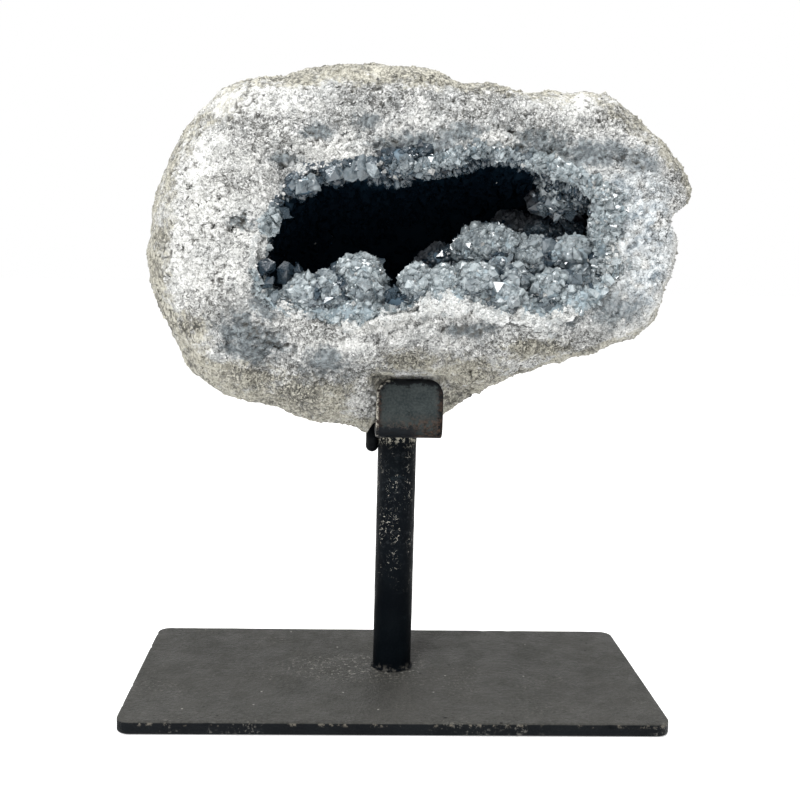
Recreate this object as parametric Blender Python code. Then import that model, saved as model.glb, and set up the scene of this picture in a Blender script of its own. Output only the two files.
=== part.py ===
"""Celestite geode held in a black steel cradle on a round post and a flat rectangular base.

Metres, +Z up. The origin is the centre of the base plate's underside. The geode's open mouth faces -Y.
"""

import math

import bmesh
import bpy
from mathutils import Vector, noise

# Base plate: 10 x 5 in flat stock.
PLATE_WIDTH = 0.254
PLATE_DEPTH = 0.127
PLATE_THICKNESS = 0.0065
PLATE_CORNER_RADIUS = 0.0065
PLATE_EDGE_ROUND = 0.0009

# Pieces that touch keep this gap between their solids.
TOUCH_GAP = 0.0003

# Post: 3/4 in round bar, painted, with a small weld round its foot.
POST_DIAMETER = 0.0194
POST_X = 0.0006
POST_Y = 0.0086
POST_TOP_Z = 0.1297
POST_WELD = 0.0016
POST_SIDES = 28

# Cradle bracket: 1 1/4 x 3/16 in flat bar bent into an L.
BRACKET_WIDTH = 0.03175
BRACKET_THICKNESS = 0.0048
BRACKET_X = 0.0046
BRACKET_FRONT_Y = -0.024
BRACKET_BACK_Y = 0.0145
SEAT_UNDERSIDE_Z = POST_TOP_Z + TOUCH_GAP
TAB_TOP_Z = 0.1588
BEND_OUTER_RADIUS = 0.0068
TAB_CORNER_RADIUS = 0.0075
SEAT_END_RADIUS = 0.012
BAR_EDGE_CHAMFER = 0.0007
TAB_TOP_ROUND = 0.0026

# Rear prong: 1/4 in round rod with a rounded lower end.
ROD_RADIUS = 0.0032
ROD_SIDES = 10
ROD_X = -0.0120
ROD_LOW_Z = 0.1176
ROD_STRAIGHT_TOP_Z = 0.1275
ROD_SPOKE_ANGLE = math.radians(259)

# Geode: depths of the widest outline, of the back and of the hollow's deepest point.
OUTLINE_Y = 0.004
BACK_Y = 0.074
HOLLOW_BACK_Y = 0.034
GEODE_CENTRE = (0.010, 0.220)
GEODE_HALF_SIZE = (0.130, 0.088)
BACK_POLE = (0.006, 0.226)
HOLLOW_POLE = (0.004, 0.228)
MOUTH_CENTRE = (0.014, 0.224)
MOUTH_HALF_SIZE = (0.075, 0.037)

# The geode's outline seen from the front, as (x, z), anticlockwise from its right-hand end.
GEODE_OUTLINE = (
    (0.1285, 0.2160), (0.1300, 0.2270), (0.1262, 0.2370), (0.1375, 0.2465), (0.1365, 0.2555), (0.1270, 0.2715),
    (0.1130, 0.2828), (0.1040, 0.2905), (0.0940, 0.2965), (0.0730, 0.2955), (0.0530, 0.2950), (0.0380, 0.2980),
    (0.0240, 0.2982), (0.0100, 0.3045), (-0.0120, 0.3056), (-0.0380, 0.3048), (-0.0570, 0.2995),
    (-0.0815, 0.2960), (-0.0960, 0.2835), (-0.1085, 0.2645), (-0.1168, 0.2445), (-0.1208, 0.2180),
    (-0.1200, 0.1990), (-0.1105, 0.1780), (-0.1000, 0.1590), (-0.0830, 0.1460), (-0.0580, 0.1405),
    (-0.0410, 0.1340), (-0.0270, 0.1325), (-0.0170, 0.1295), (-0.0110, 0.1275), (0.0040, 0.1290),
    (0.0220, 0.1390), (0.0370, 0.1480), (0.0620, 0.1610), (0.0770, 0.1660), (0.0955, 0.1735),
    (0.1125, 0.1800), (0.1220, 0.1910), (0.1250, 0.2035),
)

# The rock's lip round the mouth, as (x, z), in the same order.
MOUTH_OUTLINE = (
    (0.091, 0.226), (0.089, 0.240), (0.080, 0.250), (0.060, 0.257), (0.046, 0.261), (0.033, 0.265),
    (0.020, 0.261), (0.006, 0.257), (-0.014, 0.255), (-0.032, 0.255), (-0.046, 0.251), (-0.056, 0.242),
    (-0.063, 0.228), (-0.066, 0.213), (-0.063, 0.200), (-0.049, 0.190), (-0.028, 0.186), (-0.010, 0.190),
    (0.010, 0.194), (0.030, 0.194), (0.050, 0.189), (0.066, 0.189), (0.081, 0.198), (0.090, 0.212),
)

# Spokes round the geode, and how far along a spoke each ring lies: on the back from the pole to the
# outline, on the front from the outline to the lip, and in the hollow from the lip to its pole.
SPOKES = 60
BACK_SHARES = (0.11, 0.25, 0.39, 0.53, 0.66, 0.78, 0.88, 0.95, 0.985, 1.0)
FRONT_SHARES = (0.985, 0.945, 0.88, 0.79, 0.68, 0.56, 0.44, 0.32, 0.21, 0.12, 0.05, 0.0)
HOLLOW_SHARES = (0.07, 0.16, 0.28, 0.42, 0.58, 0.74, 0.88)
# Rings next to the poles have half as many spokes.
COARSE_BACK_RINGS = 2
COARSE_HOLLOW_RINGS = 3
# The crystals spill over the lip as far as this many rings of the front face.
CRUST_FRONT_RINGS = 2

# Larger swellings, grooves and hollows of the rock: middle, radius, and how far the middle is pushed.
ROCK_FEATURES = (
    ((0.106, -0.034, 0.216), 0.030, (0.002, -0.006, 0.000)),
    ((0.100, -0.038, 0.252), 0.018, (0.000, -0.004, 0.003)),
    ((0.117, -0.018, 0.267), 0.011, (-0.002, 0.006, -0.001)),
    ((0.121, -0.016, 0.251), 0.010, (-0.002, 0.007, 0.000)),
    ((0.126, -0.012, 0.238), 0.010, (-0.004, 0.005, 0.000)),
    ((0.040, -0.044, 0.174), 0.028, (0.000, -0.003, -0.003)),
    ((-0.068, -0.037, 0.178), 0.020, (0.002, 0.006, 0.002)),
    ((-0.090, -0.026, 0.205), 0.022, (-0.001, -0.004, 0.000)),
    ((-0.080, -0.030, 0.262), 0.024, (0.000, 0.005, 0.000)),
    ((-0.008, -0.043, 0.270), 0.016, (0.000, 0.004, 0.000)),
    ((0.050, -0.030, 0.285), 0.022, (0.000, -0.003, 0.001)),
    ((0.084, -0.036, 0.272), 0.016, (0.000, 0.004, 0.000)),
    ((-0.040, -0.016, 0.150), 0.018, (0.000, -0.004, -0.001)),
    ((-0.050, 0.060, 0.262), 0.030, (0.000, -0.007, 0.000)),
    ((0.060, 0.068, 0.236), 0.034, (0.000, 0.004, 0.000)),
    ((0.078, 0.040, 0.190), 0.026, (-0.003, -0.006, 0.003)),
    ((-0.086, 0.044, 0.196), 0.026, (-0.003, 0.004, 0.000)),
)

# The crust's rounded crystal clusters: middle of the foot, foot radius, and how far the top is pushed.
CLUSTERS = (
    ((-0.0215, -0.044, 0.189), 0.019, (0.000, -0.004, 0.026)),
    ((-0.0440, -0.043, 0.190), 0.014, (0.000, -0.003, 0.016)),
    ((0.0035, -0.045, 0.194), 0.011, (0.000, -0.004, 0.016)),
    ((0.0160, -0.045, 0.195), 0.012, (0.000, -0.004, 0.017)),
    ((0.0325, -0.045, 0.194), 0.014, (0.000, -0.004, 0.018)),
    ((0.0395, -0.026, 0.190), 0.021, (0.000, 0.001, 0.038)),
    ((0.0170, -0.020, 0.192), 0.016, (0.000, 0.000, 0.026)),
    ((0.0620, -0.031, 0.190), 0.015, (0.000, -0.001, 0.031)),
    ((0.0450, -0.048, 0.190), 0.011, (0.000, -0.005, 0.015)),
    ((0.0780, -0.040, 0.196), 0.017, (-0.002, -0.003, 0.026)),
    ((0.0665, -0.048, 0.190), 0.012, (0.000, -0.005, 0.017)),
    ((0.0735, -0.030, 0.256), 0.016, (0.000, 0.002, -0.017)),
    ((0.0950, -0.042, 0.240), 0.016, (-0.009, -0.002, 0.000)),
    ((0.0970, -0.043, 0.212), 0.014, (-0.006, -0.003, 0.000)),
    ((-0.0150, -0.042, 0.256), 0.010, (0.000, -0.002, -0.005)),
    ((0.0070, -0.042, 0.259), 0.011, (0.000, -0.002, -0.004)),
)
CRUST_THICKNESS = 0.0034
CRUST_EDGE_THICKNESS = 0.0017
CRYSTAL_HEIGHT = 0.0044


class Outline:
    """A closed outline as a radius factor of an ellipse, smooth through the points it is given."""

    def __init__(self, points, centre, half_size):
        self.centre = centre
        self.half_size = half_size
        knots = []
        for x, z in points:
            u = (x - centre[0]) / half_size[0]
            v = (z - centre[1]) / half_size[1]
            knots.append((math.atan2(v, u) % math.tau, math.hypot(u, v)))
        self.knots = sorted(knots)

    def knot(self, index):
        turns, place = divmod(index, len(self.knots))
        angle, factor = self.knots[place]
        return angle + turns * math.tau, factor

    def slope(self, index):
        before, after = self.knot(index - 1), self.knot(index + 1)
        return (after[1] - before[1]) / (after[0] - before[0])

    def factor(self, angle):
        """Cubic through the knots on either side of the angle."""
        angle %= math.tau
        index = -1
        while self.knot(index + 1)[0] <= angle:
            index += 1
        (a0, k0), (a1, k1) = self.knot(index), self.knot(index + 1)
        width = a1 - a0
        t = (angle - a0) / width
        return (
            k0 * (1 + 2 * t) * (1 - t) ** 2
            + k1 * t * t * (3 - 2 * t)
            + self.slope(index) * width * t * (1 - t) ** 2
            - self.slope(index + 1) * width * t * t * (1 - t)
        )

    def point(self, angle, detail=1.0):
        """A point of the outline. With less detail it comes closer to the plain ellipse."""
        k = 1 + (self.factor(angle) - 1) * detail
        return (
            self.centre[0] + self.half_size[0] * k * math.cos(angle),
            self.centre[1] + self.half_size[1] * k * math.sin(angle),
        )


GEODE_EDGE = Outline(GEODE_OUTLINE, GEODE_CENTRE, GEODE_HALF_SIZE)
MOUTH_EDGE = Outline(MOUTH_OUTLINE, MOUTH_CENTRE, MOUTH_HALF_SIZE)


def smooth_step(value, low, high):
    t = min(1.0, max(0.0, (value - low) / (high - low)))
    return t * t * (3 - 2 * t)


def spoke_angle(index, count):
    """The spokes stand closer together below and above than at the sides."""
    turn = math.tau * index / count
    return turn - 0.15 * math.cos(turn) + 0.08 * math.sin(2 * turn)


def nearness(angle, middle, spread):
    """1 at the middle angle, falling to 0 away from it."""
    off = (angle - middle + math.pi) % math.tau - math.pi
    return math.exp(-((off / spread) ** 2))


def lip_depth(angle):
    """The mouth's lip is furthest forward below and at the right."""
    return -0.047 - 0.005 * max(0.0, -math.sin(angle)) - 0.003 * math.cos(angle)


def between(a, b, t):
    return (a[0] + (b[0] - a[0]) * t, a[1] + (b[1] - a[1]) * t)


def rounding(share, power, fullness):
    return (1 - min(1.0, share) ** power) ** fullness


def base_point(part, share, angle):
    """A point of the plain geode, without its lumps. Below, the rock narrows straight to the cradle."""
    edge = GEODE_EDGE.point(angle)
    mouth = MOUTH_EDGE.point(angle)
    lip_y = lip_depth(angle)
    below = nearness(angle, math.radians(266), math.radians(34))
    if part == "back":
        x, z = between(BACK_POLE, GEODE_EDGE.point(angle, detail=share ** 1.5), share)
        y = OUTLINE_Y + (BACK_Y - OUTLINE_Y) * rounding(share, 2.2, 0.46 + 0.42 * below)
    elif part == "front":
        x, z = between(mouth, edge, share)
        y = OUTLINE_Y + (lip_y - OUTLINE_Y) * rounding(share, 2.3 - 1.15 * below, 0.43 + 0.52 * below)
    else:
        quarter = share * math.pi / 2
        undercut = 1 + 0.16 * math.sin(2 * quarter) * (0.6 + 0.4 * abs(math.sin(angle)))
        x, z = between(HOLLOW_POLE, mouth, undercut * math.cos(quarter) ** 0.62)
        y = lip_y + (HOLLOW_BACK_Y - lip_y) * math.sin(quarter) ** 1.15
    return Vector((x, y, z))


def lumps(point):
    """Height of the rock's lumps and ledges at a point."""
    wide = noise.noise(point / 0.046 + Vector((3.1, 7.7, 1.3)))
    middle = noise.noise(point / 0.021 + Vector((9.2, 0.4, 5.5)))
    ledge = noise.noise(Vector((point.x / 0.05, point.y / 0.03, point.z / 0.011)) + Vector((1.7, 4.1, 8.8)))
    return 0.0052 * wide + 0.0034 * middle + 0.0014 * ledge


def relief_share(part, share, angle):
    """The lumps fade out at the measured outline and beside the prong."""
    if part == "back":
        beside_rod = nearness(angle, ROD_SPOKE_ANGLE, math.radians(9))
        return (0.2 + 0.8 * smooth_step(1 - share, 0.0, 0.2)) * (1 - 0.95 * beside_rod)
    if part == "front":
        return 0.2 + 0.6 * smooth_step(1 - share, 0.0, 0.35)
    return 0.6


def seat_clearance(point):
    """Keeps the rock out of the way in front of the tab and below the seat, where steel holds it."""
    x, y, z = point
    tab_face = BRACKET_FRONT_Y + 0.55 * BRACKET_THICKNESS
    seat_face = SEAT_UNDERSIDE_Z + 0.55 * BRACKET_THICKNESS
    beside = max(0.0, abs(x - BRACKET_X) - BRACKET_WIDTH / 2 - 0.004)
    above = max(0.0, z - TAB_TOP_Z - 0.003)
    if y < OUTLINE_Y:
        y = max(y, tab_face - 1.15 * math.hypot(beside, above))
    beyond = max(0.0, y - BRACKET_BACK_Y - 0.004)
    beside_seat = max(0.0, abs(x - BRACKET_X) - BRACKET_WIDTH / 2 - 0.0015)
    z = max(z, seat_face - 0.9 * math.hypot(beyond, beside_seat))
    return Vector((x, y, z))


def ring_list():
    """The geode's rings from the back pole to the hollow's pole: part, share and number of spokes."""
    rings = []
    for i, share in enumerate(BACK_SHARES):
        rings.append(("back", share, SPOKES // 2 if i < COARSE_BACK_RINGS else SPOKES))
    rings += [("front", share, SPOKES) for share in FRONT_SHARES]
    fine_rings = len(HOLLOW_SHARES) - COARSE_HOLLOW_RINGS
    for i, share in enumerate(HOLLOW_SHARES):
        rings.append(("hollow", share, SPOKES if i < fine_rings else SPOKES // 2))
    return rings


def ring_point(row, place):
    """A point on a ring's straight edges. place runs from 0 to 1 round the ring."""
    where = place * len(row)
    before = int(math.floor(where + 1e-9))
    part = max(0.0, where - before)
    return row[before % len(row)].lerp(row[(before + 1) % len(row)], part)


def ring_normals(grid, first, last):
    """Normals out of the rock for a grid of rings between two poles, longer where the surface bends sharply.

    A point moved along its normal by a distance is then about that distance from every face beside it.
    """
    normals = []
    for i, row in enumerate(grid):
        line = []
        for j, point in enumerate(row):
            left, right = row[j - 1], row[(j + 1) % len(row)]
            before = ring_point(grid[i - 1], j / len(row)) if i > 0 else first
            after = ring_point(grid[i + 1], j / len(row)) if i + 1 < len(grid) else last
            faces = []
            for along in (point - left, right - point):
                for across in (point - before, after - point):
                    faces.append(along.cross(across).normalized())
            normal = sum(faces, Vector((0, 0, 0))).normalized()
            line.append(normal / max(0.55, min(normal.dot(face) for face in faces)))
        normals.append(line)
    return normals


def geode_grid():
    """The geode's rings of points and its two poles, lumps included."""
    rings = ring_list()
    plain = [[base_point(part, share, spoke_angle(j, count)) for j in range(count)] for part, share, count in rings]
    first = Vector((BACK_POLE[0], BACK_Y, BACK_POLE[1]))
    last = Vector((HOLLOW_POLE[0], HOLLOW_BACK_Y, HOLLOW_POLE[1]))
    grid = []
    for (part, share, count), row, facing in zip(rings, plain, ring_normals(plain, first, last)):
        moved = []
        for j, (point, normal) in enumerate(zip(row, facing)):
            relief = relief_share(part, share, spoke_angle(j, count))
            point = point + normal.normalized() * (relief * lumps(point)) + rock_push(point)
            moved.append(point if part == "hollow" else seat_clearance(point))
        grid.append(moved)
    return grid, first, last


def strip_faces(a, a_count, b, b_count):
    """Triangles between two rings of points, one of which may have twice as many as the other."""
    faces = []
    if a_count == b_count:
        for j in range(a_count):
            k = (j + 1) % a_count
            faces += [(a + j, a + k, b + k), (a + j, b + k, b + j)]
    elif b_count == 2 * a_count:
        for j in range(a_count):
            k = (j + 1) % a_count
            left, middle, right = b + 2 * j, b + 2 * j + 1, b + (2 * j + 2) % b_count
            faces += [(a + j, middle, left), (a + j, a + k, middle), (middle, a + k, right)]
    else:
        faces = [tuple(reversed(face)) for face in strip_faces(b, b_count, a, a_count)]
    return faces


def fan_faces(pole, start, sides):
    """Triangles that close a ring at a pole."""
    return [(pole, start + j, start + (j + 1) % sides) for j in range(sides)]


def skin(rows, start=0):
    """Triangles between rings of points that follow each other in one list from the given place."""
    faces = []
    for row, after in zip(rows, rows[1:]):
        faces += strip_faces(start, len(row), start + len(row), len(after))
        start += len(row)
    return faces


def mesh_object(name, points, faces, material):
    """An object of one closed skin, with its faces turned outwards."""
    mesh = bpy.data.meshes.new(name)
    mesh.from_pydata([tuple(p) for p in points], [], faces)
    bm = bmesh.new()
    bm.from_mesh(mesh)
    bmesh.ops.recalc_face_normals(bm, faces=bm.faces)
    bm.to_mesh(mesh)
    bm.free()
    mesh.materials.append(material)
    obj = bpy.data.objects.new(name, mesh)
    bpy.context.scene.collection.objects.link(obj)
    return obj


def closed_tube(name, rows, first, last, material):
    """Rings of points closed by a pole at either end."""
    points = [p for row in rows for p in row]
    faces = skin(rows)
    faces += fan_faces(len(points), 0, len(rows[0]))
    faces += fan_faces(len(points) + 1, len(points) - len(rows[-1]), len(rows[-1]))
    return mesh_object(name, [*points, first, last], faces, material)


def rock_push(point):
    """How far the larger swellings and hollows move a point of the rock."""
    total = Vector((0, 0, 0))
    for middle, radius, push in ROCK_FEATURES:
        distance = (point - Vector(middle)).length / radius
        total += Vector(push) * math.exp(-(distance ** 2))
    return total


def cluster_push(point):
    """Where the strongest rounded cluster moves a point of the crust."""
    best = Vector((0, 0, 0))
    for foot, radius, push in CLUSTERS:
        inside = 1 - ((point - Vector(foot)).length / radius) ** 2
        if inside > 0:
            moved = Vector(push) * inside ** 0.6
            if moved.length > best.length:
                best = moved
    return best


def crust_rows(grid, first, last):
    """The crust's side against the rock, and its open side with twice as many rings and spokes."""
    edge_row = len(BACK_SHARES) + len(FRONT_SHARES) - 1 - CRUST_FRONT_RINGS
    wall = grid[edge_row:]
    facing = ring_normals(grid, first, last)[edge_row:]
    rock_side = [[p + n * (2 * TOUCH_GAP) for p, n in zip(row, ns)] for row, ns in zip(wall, facing)]
    open_side = []
    steps = 2 * (len(wall) - 1)
    for step in range(steps + 1):
        i, half = divmod(step, 2)
        rows = (wall[i], wall[i + half])
        ways = (facing[i], facing[i + half])
        count = 2 * max(len(rows[0]), len(rows[1])) if step < steps - 3 else len(rows[1])
        reach = smooth_step(step, 0, 2 * CRUST_FRONT_RINGS)
        push_reach = smooth_step(step, 1, 2 * CRUST_FRONT_RINGS + 2)
        line = []
        for j in range(count):
            place = j / count
            point = (ring_point(rows[0], place) + ring_point(rows[1], place)) / 2
            normal = (ring_point(ways[0], place) + ring_point(ways[1], place)) / 2
            thickness = CRUST_EDGE_THICKNESS + (CRUST_THICKNESS - CRUST_EDGE_THICKNESS) * reach
            line.append(point + normal * thickness + cluster_push(point) * push_reach)
        open_side.append(line)
    return rock_side, open_side


def grow_crystals(rows, last):
    """Turns every third point of the crust into the tip of a crystal with six flat faces."""
    normals = ring_normals(rows, rows[0][0], last)
    grown = []
    for i, row in enumerate(rows):
        line = []
        for j, point in enumerate(row):
            normal = normals[i][j].normalized()
            gap = (row[(j + 1) % len(row)] - row[j - 1]).length / 2
            reach = smooth_step(i, 0, 2 * CRUST_FRONT_RINGS)
            shake = noise.noise_vector(point / 0.0017) * (0.3 * gap * reach)
            shake -= normal * shake.dot(normal)
            lift = 0.0
            if (i + j) % 3 == 0:
                lift = min(CRYSTAL_HEIGHT, 1.1 * gap) * (0.8 + 0.8 * noise.noise(point / 0.0031)) * reach
            line.append(point + shake + normal * lift)
        grown.append(line)
    return grown


def make_crust(grid, first, last, material):
    """One closed crust: a smooth side against the rock and crystals with flat faces on the open side."""
    rock_side, open_side = crust_rows(grid, first, last)
    rock_pole = last - Vector((0, 2 * TOUCH_GAP, 0))
    open_pole = last - Vector((0, CRUST_THICKNESS, 0))
    open_side = grow_crystals(open_side, open_pole)
    points = [p for row in rock_side for p in row]
    open_start = len(points)
    points += [p for row in open_side for p in row]
    faces = skin(rock_side) + skin(open_side, open_start)
    faces += strip_faces(0, len(rock_side[0]), open_start, len(open_side[0]))
    faces += fan_faces(len(points), open_start - len(rock_side[-1]), len(rock_side[-1]))
    faces += fan_faces(len(points) + 1, len(points) - len(open_side[-1]), len(open_side[-1]))
    return mesh_object("crystal_crust", [*points, rock_pole, open_pole], faces, material)


def rounded_rectangle(width, depth, radius, steps=6):
    corners = ((1, 1, 0), (-1, 1, 90), (-1, -1, 180), (1, -1, 270))
    outline = []
    for sx, sy, start in corners:
        cx, cy = sx * (width / 2 - radius), sy * (depth / 2 - radius)
        for k in range(steps + 1):
            a = math.radians(start + 90 * k / steps)
            outline.append((cx + radius * math.cos(a), cy + radius * math.sin(a)))
    return outline


def make_base_plate(material):
    mesh = bpy.data.meshes.new("base_plate")
    bm = bmesh.new()
    outline = rounded_rectangle(PLATE_WIDTH, PLATE_DEPTH, PLATE_CORNER_RADIUS)
    under = bm.faces.new([bm.verts.new((x, y, 0)) for x, y in outline])
    raised = bmesh.ops.extrude_face_region(bm, geom=[under])
    top = [v for v in raised["geom"] if isinstance(v, bmesh.types.BMVert)]
    bmesh.ops.translate(bm, verts=top, vec=(0, 0, PLATE_THICKNESS))
    bmesh.ops.recalc_face_normals(bm, faces=bm.faces)
    rims = [e for e in bm.edges if abs(e.verts[0].co.z - e.verts[1].co.z) < 1e-6]
    bmesh.ops.bevel(bm, geom=rims, offset=PLATE_EDGE_ROUND, segments=2, affect="EDGES", profile=0.5)
    bm.to_mesh(mesh)
    bm.free()
    mesh.materials.append(material)
    plate = bpy.data.objects.new("base_plate", mesh)
    bpy.context.scene.collection.objects.link(plate)
    return plate


def make_post(material):
    """Turned round bar whose foot flares into its weld."""
    radius = POST_DIAMETER / 2
    low = PLATE_THICKNESS + TOUCH_GAP
    profile = [(radius + POST_WELD, low), (radius + 0.55 * POST_WELD, low + 0.5 * POST_WELD)]
    profile += [(radius + 0.12 * POST_WELD, low + 1.1 * POST_WELD), (radius, low + 1.8 * POST_WELD)]
    profile += [(radius, POST_TOP_Z - 0.0006), (radius - 0.0006, POST_TOP_Z)]
    turns = [math.tau * j / POST_SIDES for j in range(POST_SIDES)]
    rows = [[(POST_X + r * math.cos(a), POST_Y + r * math.sin(a), z) for a in turns] for r, z in profile]
    return closed_tube("post", rows, (POST_X, POST_Y, low), (POST_X, POST_Y, POST_TOP_Z), material)


def end_reach(distance, radius):
    """How much a rounded corner narrows one side of a bar at a distance from the bar's end."""
    if distance >= radius:
        return 0.0
    return radius - math.sqrt(max(0.0, radius * radius - (radius - distance) ** 2))


def bar_stations():
    """Places along the bent bar: centre line (y, z), its normal, half width and thickness."""
    half = BRACKET_THICKNESS / 2
    bend = BEND_OUTER_RADIUS - half
    seat_z = SEAT_UNDERSIDE_Z + half
    tab_y = BRACKET_FRONT_Y + half
    flat = BRACKET_BACK_Y - (tab_y + bend)
    curve = bend * math.pi / 2
    rise = TAB_TOP_Z - (seat_z + bend)
    total = flat + curve + rise
    ends = [0.0005, 0.0016, 0.0034, 0.006, 0.009]
    places = ends + [SEAT_END_RADIUS] + [flat + curve * k / 6 for k in range(7)]
    places += [total - TAB_CORNER_RADIUS - 0.004, total - TAB_CORNER_RADIUS]
    places += [total - 0.006, total - 0.0034, total - 0.0016, total - 0.0003]
    stations = []
    for s in places:
        if s <= flat:
            y, z, turn = BRACKET_BACK_Y - s, seat_z, 0.0
        elif s <= flat + curve:
            turn = (s - flat) / bend
            y = tab_y + bend - bend * math.sin(turn)
            z = seat_z + bend - bend * math.cos(turn)
        else:
            y, z, turn = tab_y, seat_z + bend + (s - flat - curve), math.pi / 2
        narrowing = max(end_reach(s, SEAT_END_RADIUS), end_reach(total - s, TAB_CORNER_RADIUS))
        thinning = end_reach(total - s, TAB_TOP_ROUND)
        outward = Vector((0, -math.sin(turn), -math.cos(turn)))
        stations.append((Vector((0, y, z)), outward, BRACKET_WIDTH / 2 - narrowing, thinning))
    return stations


def bar_ring(centre, outward, half_width, thinning, grow=0.0):
    """Eight corners of the bar's chamfered cross-section. outward points to the bar's outer side."""
    half = BRACKET_THICKNESS / 2
    chamfer = BAR_EDGE_CHAMFER
    side = Vector((1, 0, 0))
    outer, inner = half - thinning + grow, half + grow
    wide = half_width + grow
    ring = []
    for w, h in (
        (wide, -inner + chamfer), (wide, outer - chamfer), (wide - chamfer, outer), (-wide + chamfer, outer),
        (-wide, outer - chamfer), (-wide, -inner + chamfer), (-wide + chamfer, -inner), (wide - chamfer, -inner),
    ):
        ring.append(centre + side * w + outward * h)
    return ring


def make_bracket(name, material, grow=0.0):
    """The bent bar. A positive grow makes the fatter copy that cuts the rock to fit it."""
    stations = bar_stations()
    rows = [bar_ring(*station, grow) for station in stations]
    rows[0] = [p + Vector((0, grow, 0)) for p in rows[0]]
    rows[-1] = [p + Vector((0, 0, grow)) for p in rows[-1]]
    rows = [[p + Vector((BRACKET_X, 0, 0)) for p in row] for row in rows]
    ends = [sum(row, Vector((0, 0, 0))) / len(row) for row in (rows[0], rows[-1])]
    return closed_tube(name, rows, ends[0], ends[1], material)


def rod_path():
    """The prong's line: straight up beside the post, then close round the geode's back."""
    reach = POST_DIAMETER / 2 + ROD_RADIUS + TOUCH_GAP
    rod_y = POST_Y + math.sqrt(reach ** 2 - (ROD_X - POST_X) ** 2)
    path = [Vector((ROD_X, rod_y, ROD_LOW_Z + ROD_RADIUS)), Vector((ROD_X, rod_y, ROD_STRAIGHT_TOP_Z))]
    stand_off = ROD_RADIUS - 0.0006
    for share in (0.86, 0.78, 0.70, 0.62, 0.54, 0.46):
        here = base_point("back", share, ROD_SPOKE_ANGLE)
        higher = base_point("back", share - 0.02, ROD_SPOKE_ANGLE)
        along = higher - base_point("back", share + 0.02, ROD_SPOKE_ANGLE)
        out = Vector((1, 0, 0)).cross(along).normalized()
        if out.y < 0:
            out = -out
        path.append(here + out * stand_off)
    return path


def smooth_path(points, per_span=3):
    """Catmull-Rom curve through the points."""
    ends = [points[0] * 2 - points[1], *points, points[-1] * 2 - points[-2]]
    line = []
    for p0, p1, p2, p3 in zip(ends, ends[1:], ends[2:], ends[3:]):
        for k in range(per_span):
            t = k / per_span
            slope = (p2 - p0) / 2
            end_slope = (p3 - p1) / 2
            near = p1 * ((1 + 2 * t) * (1 - t) ** 2) + p2 * (t * t * (3 - 2 * t))
            line.append(near + slope * (t * (1 - t) ** 2) - end_slope * (t * t * (1 - t)))
    return [*line, points[-1]]


def make_rod(name, material, grow=0.0):
    """The prong, with half-round ends. A positive grow makes the copy that cuts the rock."""
    line = smooth_path(rod_path())
    radius = ROD_RADIUS + grow
    ways = [(line[min(i + 1, len(line) - 1)] - line[max(i - 1, 0)]).normalized() for i in range(len(line))]
    caps = [math.radians(a) for a in (68, 42, 18)]
    rings = [(line[0] - ways[0] * radius * math.sin(a), ways[0], radius * math.cos(a)) for a in caps]
    rings += [(centre, way, radius) for centre, way in zip(line, ways)]
    rings += [(line[-1] + ways[-1] * radius * math.sin(a), ways[-1], radius * math.cos(a)) for a in reversed(caps)]
    rows = []
    for centre, way, size in rings:
        up = way.cross(Vector((1, 0, 0))).normalized()
        side = up.cross(way).normalized()
        turns = [math.tau * j / ROD_SIDES for j in range(ROD_SIDES)]
        rows.append([centre + side * (size * math.cos(a)) + up * (size * math.sin(a)) for a in turns])
    return closed_tube(name, rows, line[0] - ways[0] * radius, line[-1] + ways[-1] * radius, material)


def make_material(name, colour, roughness, metallic=0.0):
    material = bpy.data.materials.new(name)
    material.use_nodes = True
    shader = material.node_tree.nodes["Principled BSDF"]
    shader.inputs["Base Color"].default_value = (*colour, 1)
    shader.inputs["Roughness"].default_value = roughness
    shader.inputs["Metallic"].default_value = metallic
    return material


def cut_with(obj, cutter):
    cutter.hide_render = True
    cutter.display_type = "WIRE"
    cut = obj.modifiers.new("cut for " + cutter.name, "BOOLEAN")
    cut.operation = "DIFFERENCE"
    cut.solver = "EXACT"
    cut.object = cutter


def shade_round(obj, angle_degrees):
    obj.data.shade_smooth()
    obj.data.set_sharp_from_angle(angle=math.radians(angle_degrees))


def main():
    for obj in list(bpy.data.objects):
        bpy.data.objects.remove(obj)
    steel = make_material("black steel", (0.045, 0.047, 0.047), 0.45, 0.3)
    rock = make_material("pale grey rock", (0.66, 0.66, 0.62), 0.85)
    crystal = make_material("pale blue celestite", (0.50, 0.58, 0.66), 0.2)

    plate = make_base_plate(steel)
    post = make_post(steel)
    bracket = make_bracket("cradle_bracket", steel)
    rod = make_rod("rear_prong", steel)
    for piece in (plate, post, bracket, rod):
        shade_round(piece, 35)

    grid, first, last = geode_grid()
    geode = closed_tube("geode", grid, first, last, rock)
    make_crust(grid, first, last, crystal)
    cut_with(geode, make_bracket("bracket cutter", steel, grow=TOUCH_GAP))
    cut_with(geode, make_rod("rod cutter", steel, grow=TOUCH_GAP))


main()
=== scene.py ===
"""Celestite geode on its steel stand: fine surfaces, crystals, materials, camera, lights and floor.

Metres, +Z up, apart from the tables in millimetres. The origin is the centre of the base plate's underside.
The geode's open mouth faces -Y.
"""

import math

import bpy
import numpy as np
from mathutils import Matrix, Vector, noise


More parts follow.
